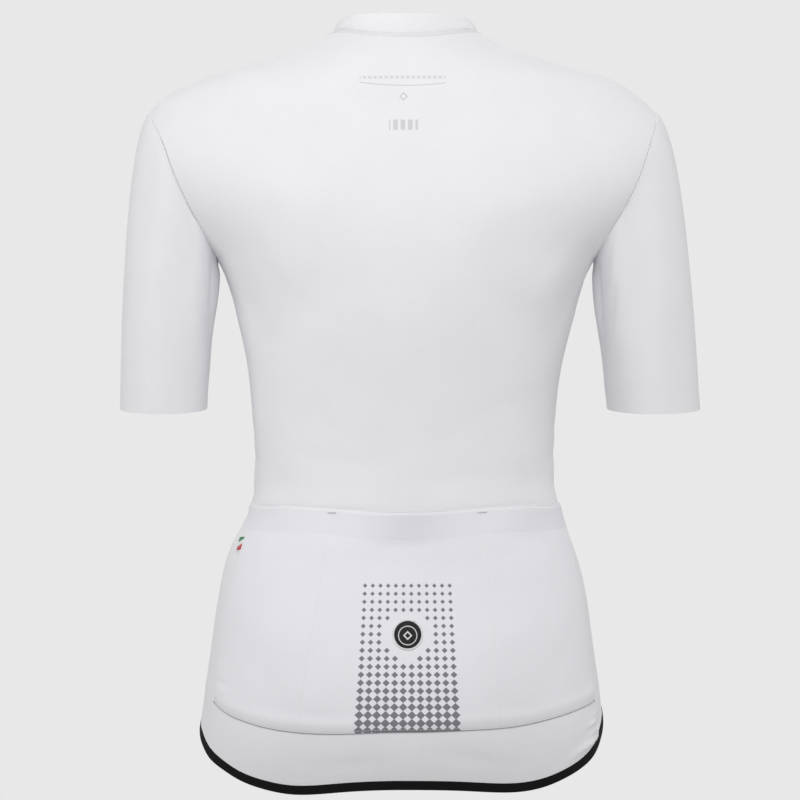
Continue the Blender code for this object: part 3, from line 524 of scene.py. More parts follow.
@lru_cache(None)
def pocket_grid(name):
    grid = panel_grid("back")
    first, last = {
        "panel": (FIRST_ROW["pocket"], FIRST_ROW["band"]), "band": (FIRST_ROW["band"], FIRST_ROW["waist"]),
    }[name]
    angle, z = grid.angle[first:last + 1], grid.z[first:last + 1]
    if name == "band":
        fine = np.linspace(0, last - first, 25)
        low = np.floor(fine).astype(int).clip(0, last - first - 1)
        share = (fine - low)[:, None]
        angle = angle[low] * (1 - share) + angle[low + 1] * share
        z = z[low] * (1 - share) + z[low + 1] * share
    points = pocket_form(angle, z)
    return Grid(points, grid_normals(points), angle, z)


# Sleeves
Cuff = namedtuple("Cuff", "centre half_width splay")
CUFFS = {"left": Cuff(201.4, 35.2, 2.0), "right": Cuff(207.4, 37.7, 5.0)}
CUFF_FORWARD, CUFF_HEIGHT, CUFF_HALF_DEPTH, ARM_TILT = 18.0, -310.0, 45.0, 6.0
UNDERARM_LEAN = 0.05      # how far out the sleeve's inner side starts, for each unit down
CREASE_LOW, CREASE_HIGH = -172.0, -138.0  # the cloth folds at the armhole below, and runs smoothly over it above
SLEEVE_LEAVE, SLEEVE_ARRIVE = 0.45, 0.9   # how long the cloth keeps its direction at the armhole and at the cuff
TIP_DROP, TIP_SHORTER = 0.35, 0.09        # how the sleeve turns down at the shoulder's tip
SLEEVE_SWELL = 2.8        # how far the sleeve's outer side swells out
SLEEVE_RING = 52.0 * math.pi / 180        # millimetres of cloth for a degree round the arm


@lru_cache(None)
def sleeve_grid(side):
    """A sleeve's cloth, from the armhole down to the cuff, open along its seam at the underarm."""
    left, sign, cuff = side == "left", 1 if side == "left" else -1, CUFFS[side]
    tilt = math.radians(ARM_TILT)
    arm = unit(np.array([sign * math.sin(math.radians(cuff.splay)), -math.sin(tilt), -math.cos(tilt)]))
    rise = np.arange(ARMHOLE_ROWS + 1) / ARMHOLE_ROWS
    step = np.concatenate([rise, rise[-2::-1]])
    back = np.arange(len(step)) > ARMHOLE_ROWS
    turn = math.pi * np.where(back, 1 - step, 1 + step)
    z = UNDERARM + (SHOULDER_TIP - UNDERARM) * (1 - np.cos(math.pi * step)) / 2
    angle = sign * seam_angle(z, left, back)
    start = body(angle, z)
    end = np.stack([
        sign * (cuff.centre + cuff.half_width * np.cos(turn)),
        -CUFF_FORWARD + CUFF_HALF_DEPTH * math.cos(tilt) * np.sin(turn),
        CUFF_HEIGHT - CUFF_HALF_DEPTH * math.sin(tilt) * np.sin(turn),
    ], -1)
    chord = np.linalg.norm(end - start, axis=1, keepdims=True)
    normal = outward(body, angle - sign * np.where(back, 0.6, -0.6), z)
    smooth = unit(arm - normal * (normal @ arm)[:, None])
    folded = unit(arm + np.array([UNDERARM_LEAN * sign, 0.0, 0.0]))
    share = ease(CREASE_LOW, CREASE_HIGH, z)[:, None]
    leave = unit(folded * (1 - share) + smooth * share + arm * TIP_DROP * ease(-110.0, -66.0, z)[:, None]) * chord
    leave = leave * (SLEEVE_LEAVE - TIP_SHORTER * ease(-120.0, -70.0, z)[:, None])
    arrive = arm * chord * SLEEVE_ARRIVE
    s = shares(88, "start")[:, None, None]
    points = start * (2 * s ** 3 - 3 * s ** 2 + 1) + leave * (s ** 3 - 2 * s ** 2 + s)
    points = points + end * (3 * s ** 2 - 2 * s ** 3) + arrive * (s ** 3 - s ** 2)
    points[..., 0] += sign * SLEEVE_SWELL * 6.75 * (s * (1 - s) ** 2)[..., 0] * (0.5 + 0.5 * np.cos(turn)) ** 2
    flip = left
    normals = grid_normals(points, flip)
    around = np.degrees(np.where(back, turn + TAU, turn)) - 180.0
    down = s[..., 0] * chord[:, 0]
    shift, drop = (0.0, 0.0) if left else (6.0, 9.0)
    placed = [c._replace(x=c.x * SLEEVE_RING + shift, z=c.z + drop) for c in SLEEVE_CREASES]
    height = np.zeros(points.shape[:2])
    for turns in (0, 1, -1):
        moved = [c._replace(x=c.x + turns * 360 * SLEEVE_RING) for c in placed]
        height += crease_height(moved, around * SLEEVE_RING, down) * ease(2.0, 22.0, down)
    points = points + normals * (height * bpy.context.scene.jersey_cloth.crease_depth)[..., None]
    return Grid(points, grid_normals(points, flip), around + 0 * down, down)


@lru_cache(None)
def angles_round(row):
    """The angles of one row of the right front, the back and the left front, from zip edge to zip edge."""
    right, back, left = (panel_grid(name).angle[row] for name in ("right", "back", "left"))
    return np.concatenate([right[:0:-1], back, left[1:]])


@lru_cache(None)
def collar_grid():
    angle, share = np.meshgrid(angles_round(-1), np.concatenate([[0.02, 0.05], np.linspace(0.1, 1.0, 15)]))
    points = collar_form(angle, share)
    wave = 0.35 * np.sin(np.radians(angle) * 3.1 + 0.6) + 0.2 * np.sin(np.radians(angle) * 7.3 + 2.0)
    points = points + grid_normals(points) * (wave * ease(0.2, 1.0, share))[..., None]
    return Grid(points, grid_normals(points), angle, share)


@lru_cache(None)
def zip_line():
    """Points up the centre front and their outward normals, between the edges of the fronts and of the collar."""
    left, right, collar = panel_grid("left"), panel_grid("right"), collar_grid()
    z = np.linspace(float(hem(np.array(180.0))) + 0.5, left.z[0, -1], 4)[:-1]
    low = body(np.full(3, 180.0), z)
    points = np.concatenate([
        low, (left.points[:, -1] + right.points[:, -1]) / 2, (collar.points[1:, 0] + collar.points[1:, -1]) / 2])
    normals = np.concatenate([
        outward(body, np.full(3, 180.0), z), left.normals[:, -1] + right.normals[:, -1],
        collar.normals[1:, 0] + collar.normals[1:, -1]])
    points[:, 0], normals[:, 0] = 0.0, 0.0
    run = run_of(points)
    even = np.linspace(0, run[-1], int(run[-1] / 2.0))
    points, normals = along(even, run, points), along(even, run, unit(normals))
    for _ in range(6):
        normals[1:-1] = (normals[:-2] + 2 * normals[1:-1] + normals[2:]) / 4
    return points, unit(normals)


# Meshes

def place(name, mesh, finish, nodes=(), rides="jersey"):
    """Puts a mesh in the scene, with its finish, as a piece that rides on its body and stands for its nodes."""
    mesh.materials.clear()
    mesh.materials.append(finish_of(finish))
    mesh.shade_smooth()
    piece = bpy.data.objects.new(name, mesh)
    bpy.context.scene.collection.objects.link(piece)
    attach(piece, rides)
    if nodes:
        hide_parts(*nodes)
    return piece


def grid_mesh(name, points, flip=False, closed=False):
    """A mesh of a grid of points, with a UV map whose unit is a metre on the cloth."""
    rows, count = points.shape[:2]
    index = np.arange(rows * count).reshape(rows, count)
    following = np.roll(index, -1, axis=1)
    last = count if closed else count - 1
    quads = np.stack([index[:-1], index[1:], following[1:], following[:-1]], -1)[:, :last].reshape(-1, 4)
    if flip:
        quads = quads[:, ::-1]
    mesh = bpy.data.meshes.new(name)
    mesh.from_pydata((points.reshape(-1, 3) * MM).tolist(), [], quads.tolist())
    across = np.cumsum(np.linalg.norm(np.diff(points, axis=1, prepend=points[:, :1]), axis=2), axis=1)
    across -= across[:, count // 2][:, None]
    up = np.cumsum(np.linalg.norm(np.diff(points, axis=0, prepend=points[:1]), axis=2), axis=0)
    uv = np.stack([across, up], -1).reshape(-1, 2) * MM
    layer = mesh.uv_layers.new(name="cloth")
    layer.data.foreach_set("uv", uv[quads.ravel()].astype(np.float32).ravel())
    return mesh


def give_wall(piece, wall, rounding):
    """Gives a piece its wall, inside its face, and rounds the edges. Returns the two modifiers."""
    solidify = piece.modifiers.new("Wall", "SOLIDIFY")
    solidify.thickness, solidify.offset = wall * MM, -1.0
    bevel = piece.modifiers.new("Rounded edges", "BEVEL")
    bevel.width, bevel.segments, bevel.limit_method = rounding * MM, 2, "ANGLE"
    return solidify, bevel


def cloth(name, points, finish, node, wall, rounding, flip=False):
    """A piece of cloth: a grid of points on its outer face, with its wall inside and its edges rounded."""
    solidify, bevel = give_wall(place(name, grid_mesh(name, points, flip), finish, [node]), wall, rounding)
    solidify.use_quality_normals = True
    bevel.angle_limit = math.radians(55)
    bevel.harden_normals = True


def add_node(tree, kind, settings=None, inputs=None):
    """Adds a node with its settings. Each input is a value, or a socket that is linked to it."""
    node = tree.nodes.new(kind)
    for key, value in (settings or {}).items():
        setattr(node, key, value)
    for key, value in (inputs or {}).items():
        value = getattr(value, "socket", value)
        if isinstance(value, bpy.types.NodeSocket):
            tree.links.new(value, node.inputs[key])
        else:
            node.inputs[key].default_value = value
    return node


def size_tree(name, labels):
    """A Geometry Nodes tree with named sizes and a finish to give."""
    tree = bpy.data.node_groups.new(name, "GeometryNodeTree")
    tree.interface.new_socket("Geometry", in_out="INPUT", socket_type="NodeSocketGeometry")
    for label in labels:
        socket = tree.interface.new_socket(label, in_out="INPUT", socket_type="NodeSocketFloat")
        socket.default_value = MM
        socket.subtype = "DISTANCE"
    tree.interface.new_socket("Finish", in_out="INPUT", socket_type="NodeSocketMaterial")
    tree.interface.new_socket("Geometry", in_out="OUTPUT", socket_type="NodeSocketGeometry")
    return tree


def bead_tree(name, teeth):
    """Small rounded bodies, turned to a line and to the cloth's outward direction.

    Stitches stand all along each line, a pitch apart and a little uneven. A tooth stands at the middle of
    each short line.
    """
    if name in bpy.data.node_groups:
        return bpy.data.node_groups[name]
    tree = size_tree(name, ["Length", "Width", "Height"] + ([] if teeth else ["Pitch"]))
    add = partial(add_node, tree)
    given = add("NodeGroupInput").outputs
    line = add("GeometryNodeMeshToCurve", inputs={"Mesh": given["Geometry"]}).outputs[0]
    size = add("ShaderNodeCombineXYZ", inputs={0: given["Length"], 1: given["Width"], 2: given["Height"]}).outputs[0]
    chosen = {}
    if teeth:
        places = add("GeometryNodeResampleCurve", {"mode": "COUNT"}, {"Curve": line, "Count": 3}).outputs[0]
        share = add("GeometryNodeSplineParameter").outputs["Factor"]
        off = add("ShaderNodeMath", {"operation": "SUBTRACT"}, {0: share, 1: 0.5}).outputs[0]
        away = add("ShaderNodeMath", {"operation": "ABSOLUTE"}, {0: off}).outputs[0]
        chosen["Selection"] = add("ShaderNodeMath", {"operation": "LESS_THAN"}, {0: away, 1: 0.1}).outputs[0]
    else:
        places = add("GeometryNodeResampleCurve", {"mode": "LENGTH"}, {
            "Curve": line, "Length": given["Pitch"]}).outputs[0]
        uneven = add("FunctionNodeRandomValue", {"data_type": "FLOAT"}, {2: 0.92, 3: 1.06, "Seed": 7})
        size = add("ShaderNodeVectorMath", {"operation": "SCALE"}, {0: size, "Scale": uneven.outputs[1]}).outputs[0]
    tangent = add("GeometryNodeInputTangent").outputs[0]
    out = add("GeometryNodeInputNamedAttribute", {"data_type": "FLOAT_VECTOR"}, {"Name": "out"}).outputs[0]
    along_line = add("FunctionNodeAlignRotationToVector", {"axis": "X"}, {"Vector": tangent}).outputs[0]
    turned = add("FunctionNodeAlignRotationToVector", {"axis": "Z", "pivot_axis": "X"},
                 {"Rotation": along_line, "Vector": out}).outputs[0]
    bead = add("GeometryNodeMeshUVSphere", inputs={
        "Segments": 8 if teeth else 6, "Rings": 4, "Radius": 0.5}).outputs[0]
    beads = add("GeometryNodeInstanceOnPoints", inputs={
        "Points": places, **chosen, "Instance": bead, "Rotation": turned, "Scale": size}).outputs[0]
    real = add("GeometryNodeRealizeInstances", inputs={"Geometry": beads}).outputs[0]
    finished = add("GeometryNodeSetMaterial", inputs={"Geometry": real, "Material": given["Finish"]}).outputs[0]
    add("NodeGroupOutput", inputs={"Geometry": finished})
    return tree


def run_tree(tree, mesh, values, finish):
    """The plain mesh that a tree makes of a mesh."""
    carrier = bpy.data.objects.new("carrier", mesh)
    bpy.context.scene.collection.objects.link(carrier)
    modifier = carrier.modifiers.new("Nodes", "NODES")
    modifier.node_group = tree
    for item in tree.interface.items_tree:
        if item.item_type == "SOCKET" and item.in_out == "INPUT":
            if item.name in values:
                modifier[item.identifier] = values[item.name]
            elif item.name == "Finish":
                modifier[item.identifier] = finish
    bpy.context.view_layer.update()
    made = bpy.data.meshes.new_from_object(carrier.evaluated_get(bpy.context.evaluated_depsgraph_get()))
    bpy.data.objects.remove(carrier)
    if not made.vertices:
        raise RuntimeError("the node tree %s made nothing" % tree.name)
    return made


def beads(name, lines, finish, pitch, length, width, height, nodes=()):
    """A row of rounded bodies along each line of points and outward normals, or without a pitch one on each."""
    mesh = bpy.data.meshes.new(name + "_lines")
    counts = [len(points) for points, _ in lines]
    starts = np.concatenate([[0], np.cumsum(counts)[:-1]])
    edges = [(s + i, s + i + 1) for s, count in zip(starts, counts) for i in range(count - 1)]
    mesh.from_pydata((np.concatenate([points for points, _ in lines]) * MM).tolist(), edges, [])
    out = mesh.attributes.new("out", "FLOAT_VECTOR", "POINT")
    out.data.foreach_set("vector", np.concatenate([n for _, n in lines]).astype(np.float32).ravel())
    sizes = {"Length": length * MM, "Width": width * MM, "Height": height * MM}
    if pitch:
        sizes["Pitch"] = pitch * MM
    tree = bead_tree("Beads along a line", False) if pitch else bead_tree("Teeth", True)
    place(name, run_tree(tree, mesh, sizes, finish_of(finish)), finish, nodes)


# Finishes

class Number:
    """One number in a finish's nodes. Arithmetic on it adds Math nodes."""

    def __init__(self, finish, socket):
        self.finish, self.socket = finish, socket

    def math(self, operation, *others, swap=False):
        values = [self, *others]
        if swap:
            values.reverse()
        node = self.finish.node("ShaderNodeMath", {"operation": operation}, dict(enumerate(values)))
        return Number(self.finish, node.outputs[0])

    def __add__(self, other): return self.math("ADD", other)
    def __sub__(self, other): return self.math("SUBTRACT", other)
    def __rsub__(self, other): return self.math("SUBTRACT", other, swap=True)
    def __mul__(self, other): return self.math("MULTIPLY", other)
    def __truediv__(self, other): return self.math("DIVIDE", other)
    def __pow__(self, other): return self.math("POWER", other)
    def __abs__(self): return self.math("ABSOLUTE")
    def sine(self): return self.math("SINE")
    def part(self): return self.math("FRACT")
    def whole(self): return self.math("FLOOR")
    def most(self, other): return self.math("MAXIMUM", other)

    def rise(self, low, high, bottom=0.0, top=1.0):
        """A soft step from bottom to top as the number goes from low to high."""
        node = self.finish.node("ShaderNodeMapRange", {"interpolation_type": "SMOOTHSTEP"}, {
            "Value": self, "From Min": low, "From Max": high, "To Min": bottom, "To Max": top})
        return Number(self.finish, node.outputs[0])

    def within(self, low, high, soft):
        """1 between low and high, with soft edges."""
        return self.rise(low - soft, low + soft) * self.rise(high - soft, high + soft, 1.0, 0.0)


class Finish:
    """A Principled material whose nodes are added one by one."""

    def __init__(self, name, color, roughness, metallic=0.0, **fixed):
        self.material = bpy.data.materials.new(name)
        self.material.use_nodes = True
        self.tree = self.material.node_tree
        self.shader = self.tree.nodes["Principled BSDF"]
        self.shader.inputs["Base Color"].default_value = (*color, 1.0)
        self.shader.inputs["Roughness"].default_value = roughness
        self.shader.inputs["Metallic"].default_value = metallic
        for key, value in fixed.items():
            self.shader.inputs[key.replace("_", " ")].default_value = value

    def node(self, kind, settings=None, inputs=None):
        return add_node(self.tree, kind, settings, inputs)

    def place(self, output):
        """The coordinates of a place in millimetres: Object ones, or UV ones on a cloth."""
        where = self.node("ShaderNodeTexCoord").outputs[output]
        parts = self.node("ShaderNodeSeparateXYZ", inputs={0: where}).outputs
        return [Number(self, socket) / MM for socket in parts]

    def noise(self, size, detail=3.0, stretch=(1.0, 1.0, 1.0)):
        """Soft noise from 0 to 1 whose spots are about size millimetres."""
        where = self.node("ShaderNodeTexCoord").outputs["Object"]
        scaled = self.node("ShaderNodeMapping", inputs={
            "Vector": where, "Scale": tuple(k / (size * MM) for k in stretch)}).outputs[0]
        node = self.node("ShaderNodeTexNoise", inputs={
            "Vector": scaled, "Scale": 1.0, "Detail": detail, "Roughness": 0.5})
        return Number(self, node.outputs[0])

    def mix(self, factor, one, other):
        """One colour where the factor is 0, the other where it is 1."""
        one, other = ((*c, 1.0) if isinstance(c, tuple) and len(c) == 3 else c for c in (one, other))
        node = self.node("ShaderNodeMix", {"data_type": "RGBA"}, {0: factor, 6: one, 7: other})
        return node.outputs[2]

    def color(self, socket):
        self.tree.links.new(socket, self.shader.inputs["Base Color"])

    def roughness(self, number):
        self.tree.links.new(number.socket, self.shader.inputs["Roughness"])

    def bump(self, *layers):
        """Bump from layers of height, each with its strength and its real height in millimetres."""
        normal = None
        for height, strength, size in layers:
            inputs = {"Strength": strength, "Distance": size * MM, "Height": height}
            if normal is not None:
                inputs["Normal"] = normal
            normal = self.node("ShaderNodeBump", inputs=inputs).outputs[0]
        self.tree.links.new(normal, self.shader.inputs["Normal"])


def shade(color, share):
    return tuple(c * share for c in color)


def finish_of(name):
    """A finish by its name, made once."""
    return bpy.data.materials.get(name) or FINISHES[name][1](name).material


def knit_stitch(finish):
    """Height of a fine knit: columns of small V shapes."""
    wale, course = 1.15, 0.9
    across, up, _ = finish.place("UV")
    column = (across / wale).part()
    arm = abs(column - 0.5)
    loop = ((up / course + arm * 0.9) * TAU).sine()
    return loop * 0.35 + (1 - arm * 2) * 0.65


def knit(name, white, roughness=0.78):
    white = tuple(white)
    finish = Finish(name, white, roughness, Sheen_Weight=0.12, Sheen_Roughness=0.45, Specular_IOR_Level=0.25)
    stitch = knit_stitch(finish)
    broad, fine = finish.noise(34.0), finish.noise(2.6, detail=2.0)
    tone = broad * 0.6 + fine * 0.4
    color = finish.mix(tone.rise(0.25, 0.75), shade(white, 0.975), shade(white, 1.01))
    # Painted shade: the knit is made a little darker where its stitch height is low, in the hollows between the
    # loops.
    color = finish.mix(stitch.rise(0.0, 0.5, 0.10, 0.0), color, shade(white, 0.8))
    finish.roughness(fine.rise(0.2, 0.8, roughness - 0.05, roughness + 0.05))
    finish.bump((broad, 0.35, 0.5), (fine, 0.3, 0.06), (stitch, 0.3, 0.05))
    return finish, color


def plain_knit(name):
    finish, color = knit(name, bpy.context.scene.jersey_cloth.white)
    finish.color(color)
    return finish


def back_knit(name):
    """The back's knit, with the plain marks of a neck print that shows through from its inside."""
    finish, color = knit(name, bpy.context.scene.jersey_cloth.white)
    x, _, z = finish.place("Object")
    rule = (z + 47.6 - x * x / 500.0).within(-0.35, 0.35, 0.2) * x.within(-33.0, 37.0, 0.3)
    dash = ((x / 4.4).part() - 0.5).math("ABSOLUTE").rise(0.36, 0.30) * z.within(-42.0, -39.6, 0.3)
    dashes = dash * x.within(-33.0, 37.0, 0.3)
    diamond = (abs(x - 1.2) + abs(z + 56.8)).rise(4.0, 3.4)
    hollow = 1 - (abs(x - 1.2) + abs(z + 56.8)).rise(2.4, 1.9)
    bars = ((x / 6.0 + 0.2).part() - 0.5).math("ABSOLUTE").rise(0.34, 0.28) * z.within(-84.5, -76.0, 0.4)
    size_bars = bars * x.within(-10.5, 13.0, 0.3)
    shown = (rule * 0.9).most(dashes * 0.55).most(diamond * hollow * 0.8).most(size_bars * 0.75)
    finish.color(finish.mix(shown * 0.62, color, (0.42, 0.42, 0.44)))
    return finish


def pocket_knit(name):
    """The pockets' knit, with a halftone of diamonds that grow downwards and leave a clear ring for the badge."""
    settings = bpy.context.scene.jersey_cloth
    finish, color = knit(name, settings.pocket_white)
    x, _, z = finish.place("Object")
    top, row_height, columns_each_side, middle_x = 449.0, 6.4, 6.0, 1.8
    down = (z * -1.0) - top
    half = down * 0.05 + 36.9
    column = (x + middle_x) / half * columns_each_side
    row = down / row_height
    inside = column.within(-columns_each_side, columns_each_side, 0.01) * row.rise(-0.01, 0.01)
    away = abs(column.part() - 0.5) + abs(row.part() - 0.5)
    size = (row.whole() / 18.0) ** 2.0 * 0.31 + 0.29
    dots = (size - away).rise(-0.035, 0.035)
    gap = ((x - BADGE_X) ** 2.0 + (z - BADGE_Z) ** 2.0) ** 0.5
    dot_x = (column.whole() + 0.5) / columns_each_side * half - middle_x
    dot_z = (row.whole() + 0.5) * -row_height - top
    dot_gap = ((dot_x - BADGE_X) ** 2.0 + (dot_z - BADGE_Z) ** 2.0) ** 0.5
    clear = dot_gap.rise(18.6, 19.0) * gap.rise(16.0, 16.5)
    finish.color(finish.mix(dots * inside * clear, color, tuple(settings.print_grey)))
    return finish


def elastic(name, color, roughness, rib, depth):
    """Woven elastic: fine ribs along it with small cross threads."""
    finish = Finish(name, color, roughness, Specular_IOR_Level=0.16)
    across, up, _ = finish.place("UV")
    ribs = abs((up / rib).part() - 0.5) * 2.0
    threads = (across * (TAU / 0.8)).sine() * 0.5 + 0.5
    fine = finish.noise(1.5)
    tone = (ribs * 0.6 + threads * 0.2 + fine * 0.2).rise(0.1, 0.9)
    finish.color(finish.mix(tone, shade(color, 1.02), shade(color, 0.94)))
    finish.roughness(fine.rise(0.2, 0.8, roughness - 0.06, roughness + 0.06))
    finish.bump((ribs, 0.5, depth), (threads, 0.25, depth * 0.5))
    return finish


def woven_tape(name, color):
    finish = Finish(name, color, 0.7, Specular_IOR_Level=0.25)
    across, up, _ = finish.place("UV")
    twill = ((across + up) * (TAU / 1.1)).sine() * 0.5 + 0.5
    cross = (up * (TAU / 0.7)).sine() * 0.5 + 0.5
    fine = finish.noise(1.8)
    finish.color(finish.mix((twill * 0.5 + fine * 0.5).rise(0.1, 0.9), shade(color, 0.95), shade(color, 1.03)))
    finish.bump((twill, 0.4, 0.06), (cross, 0.3, 0.04))
    return finish


def thread(name, color):
    finish = Finish(name, color, 0.55, Specular_IOR_Level=0.35)
    strands = finish.noise(0.35)
    finish.color(finish.mix(strands.rise(0.3, 0.7), shade(color, 0.9), color))
    finish.bump((strands, 0.4, 0.03),)
    return finish


def badge_print(name):
    """A dark rubbery print with one pale ring and a small pale diamond."""
    dark = tuple(trims().badge_dark)
    finish = Finish(name, dark, 0.5, Specular_IOR_Level=0.2)
    x, _, z = finish.place("Object")
    away = ((x - BADGE_X) ** 2.0 + (z - BADGE_Z) ** 2.0) ** 0.5
    ring = away.within(7.0, 7.7, 0.12)
    diamond = (abs(x - BADGE_X) + abs(z - BADGE_Z)).within(2.2, 3.7, 0.15)
    grain = finish.noise(0.6)
    color = finish.mix(grain.rise(0.2, 0.8), shade(dark, 0.85), shade(dark, 1.2))
    finish.color(finish.mix(ring.most(diamond) * 0.92, color, (0.78, 0.78, 0.79)))
    finish.roughness(grain.rise(0.2, 0.8, 0.44, 0.58))
    finish.bump((grain, 0.25, 0.03), (ring.most(diamond), 0.6, 0.08))
    return finish


def flag_ribbon(name):
    """Satin ribbon with slanted green, white and red bands."""
    finish = Finish(name, (0.8, 0.8, 0.8), 0.5, Sheen_Weight=0.1)
    across, up, _ = finish.place("UV")
    height = up + across * 0.42
    green, white, red = (0.012, 0.20, 0.065), (0.80, 0.80, 0.80), (0.52, 0.022, 0.028)
    top = height.rise(7.7, 8.1)
    bottom = height.rise(4.1, 3.7)
    weave = (up * (TAU / 0.55)).sine() * 0.5 + 0.5
    color = finish.mix(top, white, green)
    color = finish.mix(bottom, color, red)
    finish.color(finish.mix(weave * 0.12, color, (0.6, 0.6, 0.6)))
    finish.bump((weave, 0.4, 0.05),)
    return finish


def zip_plastic(name):
    color = (0.80, 0.80, 0.82)
    finish = Finish(name, color, 0.38)
    grain = finish.noise(1.2)
    finish.color(finish.mix(grain.rise(0.2, 0.8), shade(color, 0.96), shade(color, 1.02)))
    finish.roughness(grain.rise(0.2, 0.8, 0.32, 0.46))
    finish.bump((grain, 0.2, 0.02),)
    return finish


def zip_steel(name):
    """Satin metal, brushed along its length and a little brighter where it is rubbed."""
    color = (0.62, 0.62, 0.64)
    finish = Finish(name, color, 0.34, 1.0)
    brushed = finish.noise(0.5, stretch=(1.0, 1.0, 0.08), detail=4.0)
    worn = finish.noise(5.0)
    finish.color(finish.mix(worn.rise(0.35, 0.7), shade(color, 0.88), shade(color, 1.12)))
    finish.roughness((brushed * 0.7 + worn * 0.3).rise(0.2, 0.8, 0.24, 0.46))
    finish.bump((brushed, 0.3, 0.02),)
    return finish


def trims():
    return bpy.context.scene.jersey_trims


# Slot and maker of each finish
FINISHES = {
    "White knit": ("white_knit", plain_knit),
    "White knit of the back": ("white_knit", back_knit),
    "White knit of the pockets": ("white_knit", pocket_knit),
    "White thread": ("white_knit", lambda name: thread(name, (0.80, 0.80, 0.82))),
    # Painted shade: the bar tacks' thread is grey for the shade of the pinch each tack makes.
    "Grey thread": ("white_knit", lambda name: thread(name, (0.48, 0.48, 0.50))),
    # Painted shadow: dark grey cord for the shadow line under the pockets' foot.
    "Dark thread": ("white_knit", lambda name: thread(name, (0.40, 0.40, 0.43))),
    # Painted highlight: a cord brighter than the elastic for the bright line on the pockets' mouth.
    "Bright thread": ("pocket_elastic", lambda name: thread(name, (0.93, 0.93, 0.95))),
    "Pocket elastic": ("pocket_elastic", lambda name: elastic(name, tuple(trims().elastic_white), 0.65, 1.1, 0.015)),
    "Black elastic": ("black_elastic", lambda name: elastic(name, tuple(trims().elastic_black), 0.78, 1.3, 0.12)),
    "White tape": ("white_tape", lambda name: woven_tape(name, tuple(trims().tape_white))),
    "Badge print": ("badge_print", badge_print), "Flag ribbon": ("flag_ribbon", flag_ribbon),
    "Zip teeth": ("zip_teeth", zip_plastic), "Zip metal": ("zip_metal", zip_steel),
}


# Settings

def length(name, description, default, low, high):
    return bpy.props.FloatProperty(
        name=name, description=description, default=default, min=low, max=high, subtype="DISTANCE", unit="LENGTH",
        precision=5)


def tint(name, description, default):
    return bpy.props.FloatVectorProperty(
        name=name, description=description, default=default, size=3, min=0.0, max=1.0, subtype="COLOR")


def power(name, description, default):
    return bpy.props.FloatProperty(
        name=name, description=description, default=default, min=0.0, max=2000.0, subtype="POWER", unit="POWER")


class JerseyCloth(bpy.types.PropertyGroup):
    """Cloth of the body, sleeves, collar and pockets."""
    wall: length("Wall", "Thickness of the knit", 0.0012, 0.0005, 0.003)
    collar_wall: length("Collar wall", "Thickness of the collar's double cloth", 0.0015, 0.0005, 0.004)
    seam_depth: length("Seam depth", "How far the cloth is pressed in along its seams", 0.0003, 0.0, 0.002)
    crease_depth: bpy.props.FloatProperty(
        name="Crease depth", description="Share of the creases' full depth", default=1.0, min=0.0, max=2.0,
        subtype="FACTOR")
    white: tint("Knit white", "Colour of the knit", (0.86, 0.858, 0.882))
    pocket_white: tint("Pocket white", "Colour of the knit of the pockets", (0.86, 0.856, 0.893))
    print_grey: tint("Print grey", "Colour of the halftone on the pockets", (0.22, 0.22, 0.25))


class JerseyTrims(bpy.types.PropertyGroup):
    """Elastic, tapes, badge and flag tag."""
    band_wall: length("Pocket elastic", "Thickness of the elastic over the pockets", 0.0012, 0.0005, 0.003)
    hem_wall: length("Hem elastic", "Thickness of the elastic at the hem", 0.0017, 0.0005, 0.003)
    tape_wall: length("Tape", "Thickness of the neck tape and zip tapes", 0.0009, 0.0003, 0.002)
    elastic_white: tint("Pocket elastic colour", "Colour of the elastic over the pockets", (0.835, 0.832, 0.872))
    elastic_black: tint("Hem elastic colour", "Colour of the elastic at the hem", (0.005, 0.005, 0.0055))
    tape_white: tint("Tape colour", "Colour of the tapes", (0.78, 0.78, 0.81))
    badge_dark: tint("Badge colour", "Colour of the round badge", (0.010, 0.010, 0.011))


class JerseyZip(bpy.types.PropertyGroup):
    """The zip's teeth."""
    pitch: length("Tooth pitch", "Distance between two teeth of one side", 0.00127, 0.0008, 0.003)
    reach: length("Tooth length", "Length of a tooth across the zip", 0.0029, 0.001, 0.005)
    tooth: length("Tooth width", "Width of a tooth along the zip", 0.00068, 0.0003, 0.002)


class JerseySewing(bpy.types.PropertyGroup):
    """Threads that show."""
    pitch: length("Stitch pitch", "Distance from stitch to stitch", 0.0026, 0.001, 0.006)
    stitch: length("Stitch length", "Length of thread that shows in each stitch", 0.0021, 0.0005, 0.005)
    thickness: length("Thread", "Thickness of the thread", 0.00042, 0.0001, 0.001)


class JerseyStudio(bpy.types.PropertyGroup):
    """Light and backdrop."""
    backdrop: tint("Backdrop", "Colour of the floor and backdrop", (0.807, 0.807, 0.807))
    ambient: bpy.props.FloatProperty(
        name="Ambient", description="Strength of the light from all round", default=0.49, min=0.0, max=5.0)
    key: power("Key light", "Power of the soft light over the camera", 8.4)
    side: power("Side light", "Power of the light from the wearer's left", 4.2)
    fill: power("Fill light", "Power of the weak light from the wearer's right", 1.8)
    rim: power("Rim light", "Power of the light from beside the wearer's right", 8.0)
    front: power("Front light", "Power of the light on the jersey's front", 16.0)


# Pieces

class JERSEY_OT_body(bpy.types.Operator):
    """Makes the back and the two fronts"""
    bl_idname = "jersey.body"
    bl_label = "Body panels"

    def execute(self, context):
        settings = context.scene.jersey_cloth
        wall, depth = settings.wall / MM, settings.seam_depth / MM
        for name, piece, node in (
                ("back", "back_panel", "back"), ("left", "front_panel_left", "front_left"),
                ("right", "front_panel_right", "front_right")):
            grid = panel_grid(name)
            lines = [grid.points[:, 0], grid.points[-1]] + ([grid.points[:, -1]] if name == "back" else [])
            finish = "White knit of the back" if name == "back" else "White knit"
            points = press_seams(grid, lines, depth, seam_strength(grid.z))
            cloth(piece, points, finish, node, wall, 0.05, flip=name == "right")
        return {"FINISHED"}


